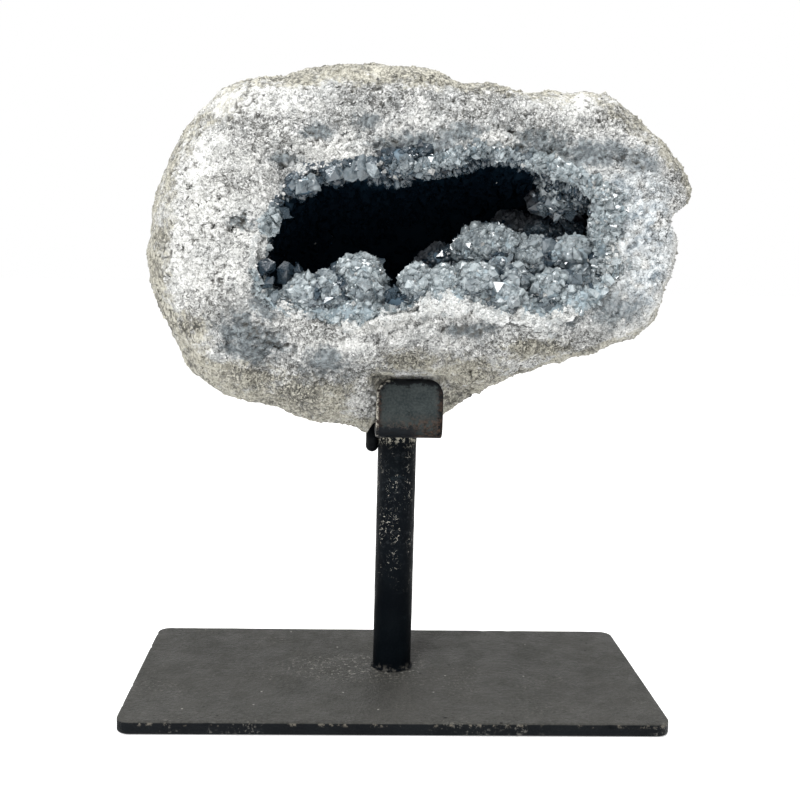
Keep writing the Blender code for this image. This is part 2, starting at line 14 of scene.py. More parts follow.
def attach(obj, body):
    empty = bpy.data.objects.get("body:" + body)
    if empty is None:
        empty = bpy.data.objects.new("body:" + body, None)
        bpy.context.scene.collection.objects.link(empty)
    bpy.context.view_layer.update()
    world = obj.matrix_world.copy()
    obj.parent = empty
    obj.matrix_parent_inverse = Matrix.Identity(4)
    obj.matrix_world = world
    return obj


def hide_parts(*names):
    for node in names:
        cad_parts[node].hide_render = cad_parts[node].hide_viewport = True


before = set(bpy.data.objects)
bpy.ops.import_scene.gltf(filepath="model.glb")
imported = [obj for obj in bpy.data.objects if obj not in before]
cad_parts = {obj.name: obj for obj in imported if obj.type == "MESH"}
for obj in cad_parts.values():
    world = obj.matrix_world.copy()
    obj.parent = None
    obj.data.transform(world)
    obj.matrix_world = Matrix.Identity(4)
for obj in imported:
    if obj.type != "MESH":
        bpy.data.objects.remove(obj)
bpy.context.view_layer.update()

TURN = 2 * math.pi

# One millimetre in metres. The tables of places and sizes are in millimetres.
MM = 0.001

# Camera: focal length in pixels of an 800 pixel frame, place in metres, and yaw, pitch and roll in degrees.
FRAME_PIXELS = 800
FOCAL_PIXELS = 1129.3
CAMERA_PLACE = Vector((-0.0268, -0.5522, 0.2194))
CAMERA_YAW = -2.884
CAMERA_PITCH = 7.574
CAMERA_ROLL = 1.490
SENSOR_MM = 36.0
LIGHT_TARGET = Vector((0, 0, 0.2))
FLOOR_REACH = 6.0
FLOOR_Z = -0.0004

# Base plate.
PLATE_WIDTH = 0.254
PLATE_DEPTH = 0.127
PLATE_THICKNESS = 0.0065
PLATE_CORNER_RADIUS = 0.0065
PLATE_EDGE_ROUND = 0.0009
TOUCH_GAP = 0.0003

# Post.
POST_RADIUS = 0.0097
POST_X = 0.0006
POST_Y = 0.0086
POST_TOP_Z = 0.1297
POST_WELD = 0.0010
POST_TOP_ROUND = 0.0008

# Cradle bracket.
BRACKET_WIDTH = 0.03175
BRACKET_THICKNESS = 0.0048
BRACKET_X = 0.0046
BRACKET_FRONT_Y = -0.024
BRACKET_BACK_Y = 0.0145
SEAT_UNDERSIDE_Z = POST_TOP_Z + TOUCH_GAP
TAB_TOP_Z = 0.1588
BEND_OUTER_RADIUS = 0.0068
TAB_CORNER_RADIUS = 0.0075
SEAT_END_RADIUS = 0.012
TAB_TOP_ROUND = 0.0026
BAR_EDGE_ROUND = 0.0008

# Rear prong.
ROD_RADIUS = 0.0032
ROD_X = -0.0120
ROD_LOW_Z = 0.1176
ROD_STRAIGHT_TOP_Z = 0.1275
ROD_SPOKE_ANGLE = math.radians(259)

# Geode: depths of the widest outline, of the back and of the hollow's deepest point.
OUTLINE_Y = 0.004
BACK_Y = 0.074
HOLLOW_BACK_Y = 0.034
GEODE_CENTRE = (0.010, 0.220)
GEODE_HALF_SIZE = (0.130, 0.088)
BACK_POLE = (0.006, 0.226)
HOLLOW_POLE = (0.004, 0.228)
MOUTH_CENTRE = (0.014, 0.224)
MOUTH_HALF_SIZE = (0.075, 0.037)

# The geode's outline seen from the front, as (x, z), anticlockwise from its right-hand end.
GEODE_OUTLINE = MM * np.array((
    (128.5, 216), (130, 227), (126.2, 237), (137.5, 246.5), (136.5, 255.5), (127, 271.5), (113, 282.8),
    (104, 290.5), (94, 296.5), (73, 295.5), (53, 295), (38, 298), (24, 298.2), (10, 304.5), (-12, 305.6),
    (-38, 304.8), (-57, 299.5), (-81.5, 296), (-96, 283.5), (-108.5, 264.5), (-116.8, 244.5), (-120.8, 218),
    (-120, 199), (-110.5, 178), (-100, 159), (-83, 146), (-58, 140.5), (-41, 134), (-27, 132.5), (-17, 129.5),
    (-11, 127.5), (4, 129), (22, 139), (37, 148), (62, 161), (77, 166), (95.5, 173.5), (112.5, 180),
    (122, 191), (125, 203.5),
))

# The rock's lip round the mouth, as (x, z), in the same order.
MOUTH_OUTLINE = MM * np.array((
    (91, 226), (89, 240), (80, 250), (60, 257), (46, 261), (33, 265), (20, 261), (6, 257), (-14, 255),
    (-32, 255), (-46, 251), (-56, 242), (-63, 228), (-66, 213), (-63, 200), (-49, 190), (-28, 186),
    (-10, 190), (10, 194), (30, 194), (50, 189), (66, 189), (81, 198), (90, 212),
))

# Larger swellings, grooves and hollows of the rock: middle, radius, and how far the middle is pushed.
ROCK_FEATURES = MM * np.array((
    (106, -34, 216, 30, 2, -6, 0), (100, -38, 252, 18, 0, -4, 3), (117, -18, 267, 11, -2, 6, -1),
    (121, -16, 251, 10, -2, 7, 0), (126, -12, 238, 10, -4, 5, 0), (40, -44, 174, 28, 0, -3, -3),
    (-68, -37, 178, 20, 2, 6, 2), (-90, -26, 205, 22, -1, -4, 0), (-80, -30, 262, 24, 0, 5, 0),
    (-8, -43, 270, 16, 0, 4, 0), (50, -30, 285, 22, 0, -3, 1), (84, -36, 272, 16, 0, 4, 0),
    (-40, -16, 150, 18, 0, -4, -1), (-50, 60, 262, 30, 0, -7, 0), (60, 68, 236, 34, 0, 4, 0),
    (78, 40, 190, 26, -3, -6, 3), (-86, 44, 196, 26, -3, 4, 0),
))

# Swellings of the crust: middle of the foot, foot radius, and how far the top is pushed.
CLUSTERS = MM * np.array((
    (-28, -44, 189, 19, 0, 2, 12), (20, -36, 192, 22, 0, 4, 12), (50, -34, 190, 22, 0, 4, 18),
    (76, -40, 196, 16, -2, -2, 12), (90, -40, 226, 18, -6, -2, 2), (74, -28, 254, 14, -2, 0, -8),
))

# Rounded crystal mounds: middle, the three half sizes, how smooth they are, and how much they lie in shade.
MOUNDS = [(row[:3], row[3:6], *row[6:]) for row in np.array((MM,) * 6 + (1, 1)) * (
    (-21.5, -38.5, 202.5, 12, 11, 14, 0.2, 0), (-44, -40, 197.5, 9.5, 9.5, 10, 0.2, 0),
    (-33, -41, 198.5, 9.5, 9.5, 11, 0.2, 0.1), (-1.5, -43.2, 195, 9.2, 5.5, 6.4, 0.8, 0.6),
    (5, -43, 203, 7.8, 8, 9.2, 0.1, 0), (18.5, -42, 203.5, 8.5, 8.5, 9.2, 0.1, 0),
    (31.5, -43, 204, 9.8, 9, 10, 0.1, 0), (39.5, -24.5, 219.5, 16, 13, 12.5, 0.1, 0.05),
    (19, -17, 212, 13, 10, 9.5, 0.1, 0.55), (61, -31, 215.5, 10.5, 9.5, 9.8, 0.1, 0.05),
    (42.5, -36.5, 212, 5.8, 5.2, 6.6, 0.8, 0.2), (45.5, -47, 199, 8, 6, 7.8, 0.5, 0),
    (76.5, -37, 219, 14, 9, 9.2, 0.8, 0.02), (66.5, -44, 203.5, 8.5, 7.5, 8.4, 0.5, 0),
    (79, -44.5, 205, 9, 7.5, 8.2, 0.3, 0.2), (73.5, -29, 245.5, 10.5, 9, 7.8, 0.4, 0),
    (63, -26, 243, 5.2, 6, 5.2, 0.4, 0), (96.5, -44, 239, 13.5, 8.5, 16, 0.2, 0),
    (96.5, -44, 213, 11.5, 7.5, 12, 0.3, 0), (-3, -40, 258.5, 11, 7, 5.5, 0.5, 0.3),
    (11, -39, 261, 11, 6.5, 5.5, 0.4, 0.3), (-46.5, -44, 246.5, 7.5, 5, 4.5, 0.6, 0.25),
    (-33, -44, 252.5, 4.2, 4.5, 3.8, 0.7, 0.2), (64, -12, 229, 11.5, 9, 8, 0.2, 0.45),
    (77, -14, 230, 9, 9, 7.8, 0.2, 0.45), (50, -12, 231, 8, 8, 7, 0.2, 0.6),
    (50, -39.5, 207, 7, 5.6, 6.6, 0.4, 0.08),
)]
CRUST_THICKNESS = 0.0034
HANGING_COUNT = 420
# Area of a mound that carries one small crystal.
TIP_AREA = 0.0000021
TIP_WIDTH = 0.00125
GLINT_LENGTH = 0.0012

# Fine grids: spokes and rings of the rock and of the crust.
ROCK_SPOKES = 800
ROCK_FRONT_RINGS = 93
ROCK_BACK_RINGS = 44
ROCK_HOLLOW_RINGS = 10
CRUST_SPOKES = 420
CRUST_RINGS = 84
CRUST_BACKING_RINGS = 8
CRUST_LAST_STEP = 9.85

RANDOM = np.random.default_rng(20)
noise.seed_set(20)


def smooth_step(value, low, high):
    t = np.clip((value - low) / (high - low), 0.0, 1.0)
    return t * t * (3 - 2 * t)


def mix(a, b, share):
    return a + (b - a) * share


def outline_factor(points, centre, half_size, angles):
    """Radius factor of the ellipse that carries a smooth closed line through the points."""
    offsets = (points - centre) / half_size
    knots = np.arctan2(offsets[:, 1], offsets[:, 0]) % TURN
    order = np.argsort(knots)
    knots = knots[order]
    factors = np.hypot(offsets[:, 0], offsets[:, 1])[order]
    knots = np.concatenate([knots - TURN, knots, knots + TURN])
    factors = np.tile(factors, 3)
    slopes = np.zeros_like(factors)
    slopes[1:-1] = (factors[2:] - factors[:-2]) / (knots[2:] - knots[:-2])
    angles = angles % TURN
    i = np.searchsorted(knots, angles, side="right") - 1
    width = knots[i + 1] - knots[i]
    t = (angles - knots[i]) / width
    return (
        factors[i] * (1 + 2 * t) * (1 - t) ** 2
        + factors[i + 1] * t * t * (3 - 2 * t)
        + slopes[i] * width * t * (1 - t) ** 2
        - slopes[i + 1] * width * t * t * (1 - t)
    )


def outline_points(points, centre, half_size, angles, detail=1.0):
    k = 1 + (outline_factor(points, centre, half_size, angles) - 1) * detail
    x = centre[0] + half_size[0] * k * np.cos(angles)
    return np.stack([x, centre[1] + half_size[1] * k * np.sin(angles)], axis=-1)


def spoke_angles(count):
    """The spokes stand closer together below and above than at the sides."""
    turn = TURN * np.arange(count) / count
    return turn - 0.15 * np.cos(turn) + 0.08 * np.sin(2 * turn)


def nearness(angle, middle, spread):
    off = (angle - middle + math.pi) % TURN - math.pi
    return np.exp(-((off / spread) ** 2))


def rounding(share, power, fullness):
    return (1 - np.clip(share, 0, 1) ** power) ** fullness


def base_ring(part, share, angles):
    """One ring of the plain geode, without its lumps."""
    mouth = outline_points(MOUTH_OUTLINE, MOUTH_CENTRE, MOUTH_HALF_SIZE, angles)
    lip_y = -0.047 - 0.005 * np.maximum(0, -np.sin(angles)) - 0.003 * np.cos(angles)
    below = nearness(angles, math.radians(266), math.radians(34))
    if part == "back":
        edge = outline_points(GEODE_OUTLINE, GEODE_CENTRE, GEODE_HALF_SIZE, angles, detail=share ** 1.5)
        flat = mix(np.array(BACK_POLE), edge, share)
        y = OUTLINE_Y + (BACK_Y - OUTLINE_Y) * rounding(share, 2.2, 0.46 + 0.42 * below)
    elif part == "front":
        edge = outline_points(GEODE_OUTLINE, GEODE_CENTRE, GEODE_HALF_SIZE, angles)
        flat = mix(mouth, edge, share)
        y = OUTLINE_Y + (lip_y - OUTLINE_Y) * rounding(share, 2.3 - 1.15 * below, 0.43 + 0.52 * below)
    else:
        quarter = share * math.pi / 2
        undercut = 1 + 0.16 * math.sin(2 * quarter) * (0.6 + 0.4 * np.abs(np.sin(angles)))
        reach = undercut * math.cos(quarter) ** 0.62
        flat = mix(np.array(HOLLOW_POLE), mouth, reach[:, None])
        y = lip_y + (HOLLOW_BACK_Y - lip_y) * math.sin(quarter) ** 1.15
    return np.stack([flat[:, 0], y, flat[:, 1]], axis=-1)


def sampled(read, points, scale, shift=(0, 0, 0)):
    """What a noise function reads at points, for features of about the scale in metres."""
    values = np.array([read(place) for place in (points.reshape(-1, 3) / scale + shift).tolist()])
    return values.reshape(*points.shape[:-1], *values.shape[1:])


def noise_at(points, scale, shift):
    return sampled(noise.noise, points, scale, shift)


def cells_at(points, scale, shift=(0, 0, 0)):
    """Distance to the nearest and to the next of many scattered middles, in units of the scale."""
    near = sampled(lambda place: noise.voronoi(place)[0][:2], points, scale, shift)
    return near[..., 0], near[..., 1]


def lumps(points):
    ledge_scale = np.array((0.05, 0.03, 0.011))
    return (
        0.0052 * noise_at(points, 0.046, (3.1, 7.7, 1.3))
        + 0.0034 * noise_at(points, 0.021, (9.2, 0.4, 5.5))
        + 0.0014 * noise_at(points, ledge_scale, (1.7, 4.1, 8.8))
    )


def relief_share(part, share, angles):
    if part == "back":
        beside_rod = nearness(angles, ROD_SPOKE_ANGLE, math.radians(9))
        return (0.2 + 0.8 * smooth_step(1 - share, 0.0, 0.2)) * (1 - 0.95 * beside_rod)
    if part == "front":
        return np.full_like(angles, 0.2 + 0.6 * smooth_step(1 - share, 0.0, 0.35))
    return np.full_like(angles, 0.6)


def seat_clearance(points):
    """Keeps the rock behind the tab and above the seat."""
    x, y, z = points[..., 0], points[..., 1], points[..., 2]
    tab_face = BRACKET_FRONT_Y + BRACKET_THICKNESS + TOUCH_GAP
    seat_face = SEAT_UNDERSIDE_Z + BRACKET_THICKNESS + TOUCH_GAP
    side = np.abs(x - BRACKET_X) - BRACKET_WIDTH / 2
    above = np.maximum(0, z - TAB_TOP_Z - 0.0006)
    behind = tab_face - 2.2 * np.hypot(np.maximum(0, side - 0.0006), above)
    y = np.where(y < OUTLINE_Y, np.maximum(y, behind), y)
    beyond = np.maximum(0, y - BRACKET_BACK_Y - 0.0006)
    over = seat_face - 2.2 * np.hypot(beyond, np.maximum(0, side - 0.0006))
    return np.stack([x, y, np.maximum(z, over)], axis=-1)


def pushes(points, features):
    total = np.zeros_like(points)
    for row in features:
        distance = np.linalg.norm(points - row[:3], axis=-1) / row[3]
        total += np.exp(-(distance ** 2))[..., None] * row[4:]
    return total


def cluster_push(points):
    """Where the strongest rounded cluster moves each point of the crust."""
    best = np.zeros_like(points)
    strength = np.zeros(points.shape[:-1])
    for row in CLUSTERS:
        push = row[4:]
        inside = 1 - (np.linalg.norm(points - row[:3], axis=-1) / row[3]) ** 2
        share = np.maximum(inside, 0) ** 0.6
        size = share * np.linalg.norm(push)
        stronger = size > strength
        best[stronger] = share[stronger][:, None] * push
        strength[stronger] = size[stronger]
    return best


def grid_normals(grid):
    """Unit normals out of the rock for a grid of rings."""
    along = np.roll(grid, -1, axis=1) - np.roll(grid, 1, axis=1)
    across = np.empty_like(grid)
    across[1:-1] = grid[2:] - grid[:-2]
    across[0] = grid[1] - grid[0]
    across[-1] = grid[-1] - grid[-2]
    normals = np.cross(along, across)
    return normals / np.maximum(np.linalg.norm(normals, axis=-1, keepdims=True), 1e-12)


def plain_rock(rows, count):
    """The geode with the same lumps and hollows as its solid, for rows of (part, share)."""
    angles = spoke_angles(count)
    grid = np.array([base_ring(part, share, angles) for part, share in rows])
    relief = np.array([relief_share(part, share, angles) for part, share in rows])
    normals = grid_normals(grid)
    return grid + normals * (relief * lumps(grid))[..., None] + pushes(grid, ROCK_FEATURES)


def grid_faces(rows, count, start=0):
    """Quads between consecutive rings."""
    i, j = np.meshgrid(np.arange(rows - 1), np.arange(count), indexing="ij")
    k = (j + 1) % count
    a, b = start + i * count + j, start + i * count + k
    return np.stack([a, b, b + count, a + count], axis=-1).reshape(-1, 4)


def halving_faces(start, count, next_start):
    """Triangles between a ring and the next one, which has half as many points."""
    j = np.arange(count // 2)
    k = (j + 1) % (count // 2)
    a, b, c = start + 2 * j, start + 2 * j + 1, start + (2 * j + 2) % count
    near, far = next_start + j, next_start + k
    corners = ((a, b, near), (b, far, near), (b, c, far))
    return np.concatenate([np.stack(three, axis=-1) for three in corners])


def fan(pole, start, count):
    j = np.arange(count)
    return np.stack([np.full(count, pole), start + j, start + (j + 1) % count], axis=-1)


def put_in_scene(name, data):
    obj = bpy.data.objects.new(name, data)
    bpy.context.scene.collection.objects.link(obj)
    return obj


def make_mesh(name, points, face_groups, material, smooth=True):
    """A mesh object from points and groups of faces with the same number of corners."""
    mesh = bpy.data.meshes.new(name)
    loops = np.concatenate([g.reshape(-1) for g in face_groups]).astype(np.int32)
    sizes = np.concatenate([np.full(len(g), g.shape[1]) for g in face_groups])
    starts = np.concatenate([[0], np.cumsum(sizes)[:-1]]).astype(np.int32)
    mesh.vertices.add(len(points))
    mesh.vertices.foreach_set("co", np.asarray(points, dtype=np.float32).reshape(-1))
    mesh.loops.add(len(loops))
    mesh.loops.foreach_set("vertex_index", loops)
    mesh.polygons.add(len(sizes))
    mesh.polygons.foreach_set("loop_start", starts)
    mesh.polygons.foreach_set("use_smooth", np.full(len(sizes), smooth))
    mesh.update(calc_edges=True)
    face_outwards(mesh, loops, starts, sizes, np.asarray(points, dtype=float).reshape(-1, 3))
    mesh.validate()
    mesh.materials.append(material)
    return put_in_scene(name, mesh)


def face_outwards(mesh, loops, starts, sizes, points):
    """Turns a closed mesh's faces round if they point inwards."""
    total = 0.0
    for corner in range(1, sizes.max() - 1):
        has = sizes > corner + 1
        a, b, c = (points[loops[starts[has] + k]] for k in (0, corner, corner + 1))
        total += np.einsum("ij,ij->i", a, np.cross(b, c)).sum()
    if total < 0:
        mesh.flip_normals()


def add_attribute(obj, name, values):
    attribute = obj.data.attributes.new(name, "FLOAT", "POINT")
    attribute.data.foreach_set("value", np.asarray(values, dtype=np.float32).reshape(-1))


def closed_rings(name, rings, first, last, material, smooth=True):
    """Rings of points closed by a pole at either end, with faces that point outwards."""
    rows, count = rings.shape[:2]
    points = np.concatenate([rings.reshape(-1, 3), [first, last]])
    last_start = (rows - 1) * count
    caps = np.concatenate([fan(rows * count, 0, count)[:, ::-1], fan(rows * count + 1, last_start, count)])
    return make_mesh(name, points, [grid_faces(rows, count), caps], material, smooth)


# Rock


def blob(points, look):
    """How strong the look's soft spots are at each point."""
    best = np.zeros(points.shape[:-1])
    for x, z, wide, high in MM * np.array(PATCHES[look]):
        off = ((points[..., 0] - x) / wide) ** 2 + ((points[..., 2] - z) / high) ** 2
        best = np.maximum(best, np.exp(-off))
    return best


# Places on the front, as (x, z, half width, half height) in millimetres: blue-grey see-through patches, tan
# skin, dark grey rough places, the bright crystalline mass at the right, and chalk white places.
PATCHES = {
    "blue": (
        (4, 265, 26, 7.5), (-18, 276, 9, 5), (22, 271, 12, 6), (-74, 180, 15, 12), (80, 264, 28, 8),
        (-51, 243, 8, 8), (58, 267, 20, 8), (-36, 168, 12, 10), (95, 196, 20, 10), (-54, 258, 8, 4),
        (-64, 196, 8, 14), (30, 184, 18, 4), (-74, 230, 7, 5), (66, 192, 14, 8), (-40, 270, 12, 4),
        (-60, 176, 14, 6), (102, 262, 16, 8), (-71, 171, 16, 6),
    ),
    "tan": (
        (30, 162, 24, 12), (-45, 150, 34, 12), (-114, 205, 12, 36), (-90, 288, 30, 12), (2, 168, 16, 7),
        (12, 298, 40, 8), (-98, 180, 12, 16), (24, 201, 12, 6), (60, 176, 20, 6), (-34, 143, 18, 10),
        (-108, 250, 10, 30), (-75, 158, 22, 10), (-8, 158, 10, 10), (-104, 272, 12, 14),
    ),
    "grey": (
        (-66, 270, 22, 12), (-14, 288, 24, 11), (54, 276, 18, 10), (34, 290, 18, 9), (-72, 247, 20, 8),
        (4, 170, 22, 8), (-88, 192, 18, 10), (50, 180, 32, 9), (-40, 182, 20, 9), (122, 252, 10, 16),
        (95, 280, 18, 10), (-58, 160, 26, 11), (80, 180, 20, 8), (26, 276, 12, 8), (-28, 276, 16, 6),
        (-30, 160, 22, 10), (-48, 151, 14, 7), (-14, 164, 13, 6),
    ),
    "mass": (
        (104, 232, 18, 24), (108, 208, 16, 16), (92, 247, 14, 8),
    ),
    "chalk": (
        (-90, 244, 22, 34), (-78, 284, 30, 10), (-40, 262, 20, 6), (80, 288, 22, 7), (-102, 212, 10, 18),
        (20, 196, 20, 6), (-20, 186, 26, 5), (112, 200, 14, 16), (100, 186, 12, 5), (120, 224, 10, 20),
        (40, 268, 14, 4), (-18.5, 146.5, 8, 5), (-92, 200, 8, 14), (-34, 176, 14, 4),
    ),
}
ROCK_LOOKS = tuple(PATCHES)


# How far swells, knobs, creases and holes stand out or go in, on the broken face and on the skin.
ROCK_RELIEF = ((0.0023, 0.0015), (0.0014, 0.0005), (0.0009, 0.00036), (0.0026, 0.0010))
GROOVE_DEPTH = 0.0008
GRAIN_RELIEF = 0.00035


def rock_heights(grid, skin, detail):
    """How far each point of the rock stands out or is sunk, and how deep in a pit it lies."""
    coarse = sampled(lambda place: noise.fractal(place, 0.9, 2.1, 4), grid, 0.011, (2, 5, 1))
    near, next_near = cells_at(grid, 0.0034, (1, 2, 3))
    crease = 1 - smooth_step(next_near - near, 0.0, 0.28)
    rough = detail * (0.35 + 0.65 * smooth_step(noise_at(grid, 0.016, (7, 3, 9)), -0.25, 0.35))
    bent = grid + 0.0012 * sampled(noise.noise_vector, grid, 0.003)
    hole = 1 - smooth_step(cells_at(bent, 0.0062, (5, 0, 2))[0], 0.14, 0.36)
    groove = 1 - smooth_step(np.abs(noise_at(grid * (1, 1, 1.9), 0.0052, (9, 9, 1))), 0.02, 0.15)
    fine = noise_at(grid, 0.0016, (8, 1, 4))
    swell, knob, crease_depth, hole_depth = (mix(*pair, skin) for pair in ROCK_RELIEF)
    height = swell * coarse + knob * (0.5 - near) * rough + GRAIN_RELIEF * fine * detail
    height -= (crease_depth * crease + hole_depth * hole + GROOVE_DEPTH * groove) * rough
    pit = np.clip((0.55 * crease + hole + 0.45 * groove) * rough, 0, 1)
    return height, pit


def rock_rows():
    evenly = np.arange(1, ROCK_BACK_RINGS + 1) / (ROCK_BACK_RINGS + 1)
    back = mix(evenly, np.sin(evenly * math.pi / 2), 0.5)
    front = np.cos(np.arange(ROCK_FRONT_RINGS) / (ROCK_FRONT_RINGS - 1) * math.pi / 2) ** 0.9
    front[-1] = 0.0
    hollow = np.arange(1, ROCK_HOLLOW_RINGS + 1) / (ROCK_HOLLOW_RINGS + 1)
    parts = ["back"] * len(back) + ["front"] * len(front) + ["hollow"] * len(hollow)
    return np.array(parts), np.concatenate([back, front, hollow])


def make_rock(material):
    """One closed surface, with half as many spokes at the back and in the hollow as on the front."""
    parts, shares = rock_rows()
    grid = plain_rock(list(zip(parts, shares)), ROCK_SPOKES)
    facing = grid_normals(grid)
    front = (parts == "front")[:, None]
    covered = np.where(front, 1 - smooth_step(shares[:, None], 0.0, 0.09), 0.0)
    covered = np.where((parts == "hollow")[:, None], 1.0, covered)
    # The skin is the weathered outside, and the broken face lies within it.
    ragged = 0.16 * noise_at(grid, 0.017, (4, 4, 4))
    skin = np.where(front, smooth_step(shares[:, None] + ragged, 0.62, 0.88), 1.0)
    # The back's grid is too coarse for the smallest pits.
    detail = np.where((parts == "back")[:, None], mix(0.2, 1.0, smooth_step(shares[:, None], 0.80, 1.0)), 1.0)
    height, pit = rock_heights(grid, skin, detail)
    height *= 1 - np.where((parts == "hollow")[:, None], 1.0, 0.45 * covered)
    grid = grid + facing * height[..., None]
    outside = parts != "hollow"
    grid[outside] = seat_clearance(grid[outside])

    broken = (1 - skin) * np.ones(ROCK_SPOKES)
    looks = {
        "pit": pit,
        "blue": blob(grid, "blue") * broken,
        "tan": np.maximum(0.9 * skin, blob(grid, "tan") * front),
        "broken": broken,
        "grey": np.maximum(blob(grid, "grey") * front, 0.35 * skin),
        "mass": blob(grid, "mass") * broken,
        "chalk": blob(grid, "chalk") * front,
    }
    is_back, is_front, is_hollow = (parts == part for part in ("back", "front", "hollow"))
    back, hollow = grid[is_back, ::2], grid[is_hollow, ::2]
    poles = [back[0].mean(axis=0) + (0, 0.0002, 0), hollow[-1].mean(axis=0) + (0, 0.003, 0)]
    points = np.concatenate([*(part.reshape(-1, 3) for part in (back, grid[is_front], hollow)), poles])
    half = ROCK_SPOKES // 2
    front_start = half * ROCK_BACK_RINGS
    hollow_start = front_start + ROCK_SPOKES * ROCK_FRONT_RINGS
    back_pole = len(points) - 2
    quads = np.concatenate([
        grid_faces(ROCK_BACK_RINGS, half),
        grid_faces(ROCK_FRONT_RINGS, ROCK_SPOKES, front_start),
        grid_faces(ROCK_HOLLOW_RINGS, half, hollow_start),
    ])
    tris = np.concatenate([
        fan(back_pole, 0, half)[:, ::-1],
        halving_faces(front_start, ROCK_SPOKES, front_start - half)[:, ::-1],
        halving_faces(hollow_start - ROCK_SPOKES, ROCK_SPOKES, hollow_start),
        fan(back_pole + 1, back_pole - half, half),
    ])
    rock = make_mesh("geode_rock", points, [quads, tris], material)
    for look in ("pit", *ROCK_LOOKS):
        values = looks[look]
        kept = [part.reshape(-1) for part in (values[is_back, ::2], values[is_front], values[is_hollow, ::2])]
        add_attribute(rock, look, np.concatenate([*kept, [0.5, 0.5]]))
    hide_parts("geode")
    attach(rock, "root")
    face = {name: values[is_front] for name, values in looks.items()}
    return {"grid": grid[is_front], "facing": facing[is_front], "share": shares[is_front], **face}


# Crust and crystals


def crust_place(step):
    """The part and share of a spoke at a place on the crust, counted in the solid's rings from its edge."""
    if step < 2:
        return "front", float(np.interp(step, (0, 1, 2), (0.12, 0.05, 0.0)))
    shares = (0.0, 0.07, 0.16, 0.28, 0.42, 0.58, 0.74, 0.88, 1.0)
    return "hollow", float(np.interp(step - 2, range(9), shares))


def crust_rings(steps, count):
    rock = plain_rock([crust_place(step) for step in steps], count)
    return rock, grid_normals(rock)


def make_crust(material):
    """The closed crust: a fine open side with rounded clusters, and a plain side against the rock."""
    steps = CRUST_LAST_STEP * (np.arange(CRUST_RINGS) / (CRUST_RINGS - 1)) ** 1.25
    rock, normals = crust_rings(steps, CRUST_SPOKES)
    reach = smooth_step(steps, 0, 2)[:, None]
    ragged = 0.9 * noise_at(rock, 0.010, (5, 5, 8)) + 0.5 * noise_at(rock, 0.0045, (5, 5, 1))
    thickness = mix(-0.0022, CRUST_THICKNESS, smooth_step(steps[:, None] + ragged, 0.3, 2.3))
    thickness = np.minimum(thickness, mix(-0.0010, CRUST_THICKNESS, reach))
    push = cluster_push(rock + normals * thickness[..., None]) * smooth_step(2 * steps, 1, 6)[:, None, None]
    grid = rock + normals * thickness[..., None] + push
    facing = grid_normals(grid)
    near = cells_at(grid, 0.0075, (3, 3, 1))[0]
    knobs = 0.0020 * (0.6 - near) + 0.0010 * noise_at(grid, 0.004, (1, 1, 1))
    inner = 1 - smooth_step(steps, 9.2, CRUST_LAST_STEP)[:, None]
    grid = grid + facing * (knobs * reach * inner)[..., None]

    backing_steps = np.linspace(0.15, CRUST_LAST_STEP, CRUST_BACKING_RINGS)
    backing, backing_normals = crust_rings(backing_steps, CRUST_SPOKES)
    backing = (backing - backing_normals * 0.0026)[::-1]
    # At the rim the normals lean into the mouth, so the last two rings are also set back from the face.
    backing[-2:, :, 1] += 0.0025
    rings = np.concatenate([backing, grid])
    deepest, nearest = backing[0].mean(axis=0) + (0, 0.002, 0), grid[-1].mean(axis=0) + (0, 0.0006, 0)
    crust = closed_rings("crust_base", rings, deepest, nearest, material)
    ring_steps = np.concatenate([np.zeros(CRUST_BACKING_RINGS), steps])
    looks = crust_looks(rings, np.broadcast_to(ring_steps[:, None], rings.shape[:-1]))
    for name, values in looks.items():
        # The poles lie deep in the hollow, in full painted shade.
        pole = 1.0 if name == "depth" else 0.0
        add_attribute(crust, name, np.concatenate([values.reshape(-1), [pole, pole]]))
    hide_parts("crystal_crust")
    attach(crust, "root")
    steps = np.broadcast_to(steps[:, None], grid.shape[:-1])
    return {"grid": grid, "facing": grid_normals(grid), "steps": steps}


# Where the white rock ends and the crystals begin along the lower lip, as (x, z).
LOWER_SAND_LINE = MM * np.array((
    (-64, 196), (-52, 190), (-36, 187), (-18, 186), (-9, 191), (0, 192), (7, 196), (16, 200), (30, 197),
    (44, 193), (58, 192), (71, 193), (85, 196), (100, 199),
))


def crust_looks(points, steps):
    """Painted shade deep in the hollow and in creases, how far white rock grains overgrow the crust, and its
    tint.
    """
    x, z = points[..., 0], points[..., 2]
    ragged = noise_at(points, 0.009, (2, 8, 5)) + 0.6 * noise_at(points, 0.0035, (2, 2, 5))
    line = np.interp(x, *LOWER_SAND_LINE.T)
    low = 1 - smooth_step(z - line + 0.0030 * ragged, -0.0012, 0.0012)
    right = smooth_step(x, 0.050, 0.075)
    left = smooth_step(-x, 0.020, 0.040)
    high = smooth_step(z, 0.205, 0.215)
    broad = noise_at(points, 0.016, (7, 7, 7))
    reach = 0.7 + 1.0 * left + 1.4 * broad + 0.8 * ragged
    upper = (1 - right) * (1 - smooth_step(steps - reach, -0.4, 0.5))
    icy = 0.55 * smooth_step(x, 0.082, 0.095) * smooth_step(noise_at(points, 0.008, (1, 3, 3)), -0.3, 0.3)
    white = np.maximum(np.maximum(low * (1 - high), high * upper), icy)
    depth = np.maximum(depth_of(points), 0.62 * painted_crease_shade(points))
    return {"depth": depth, "white": white, "tint": 0.5 + 0.5 * noise_at(points, 0.006, (0, 0, 0))}


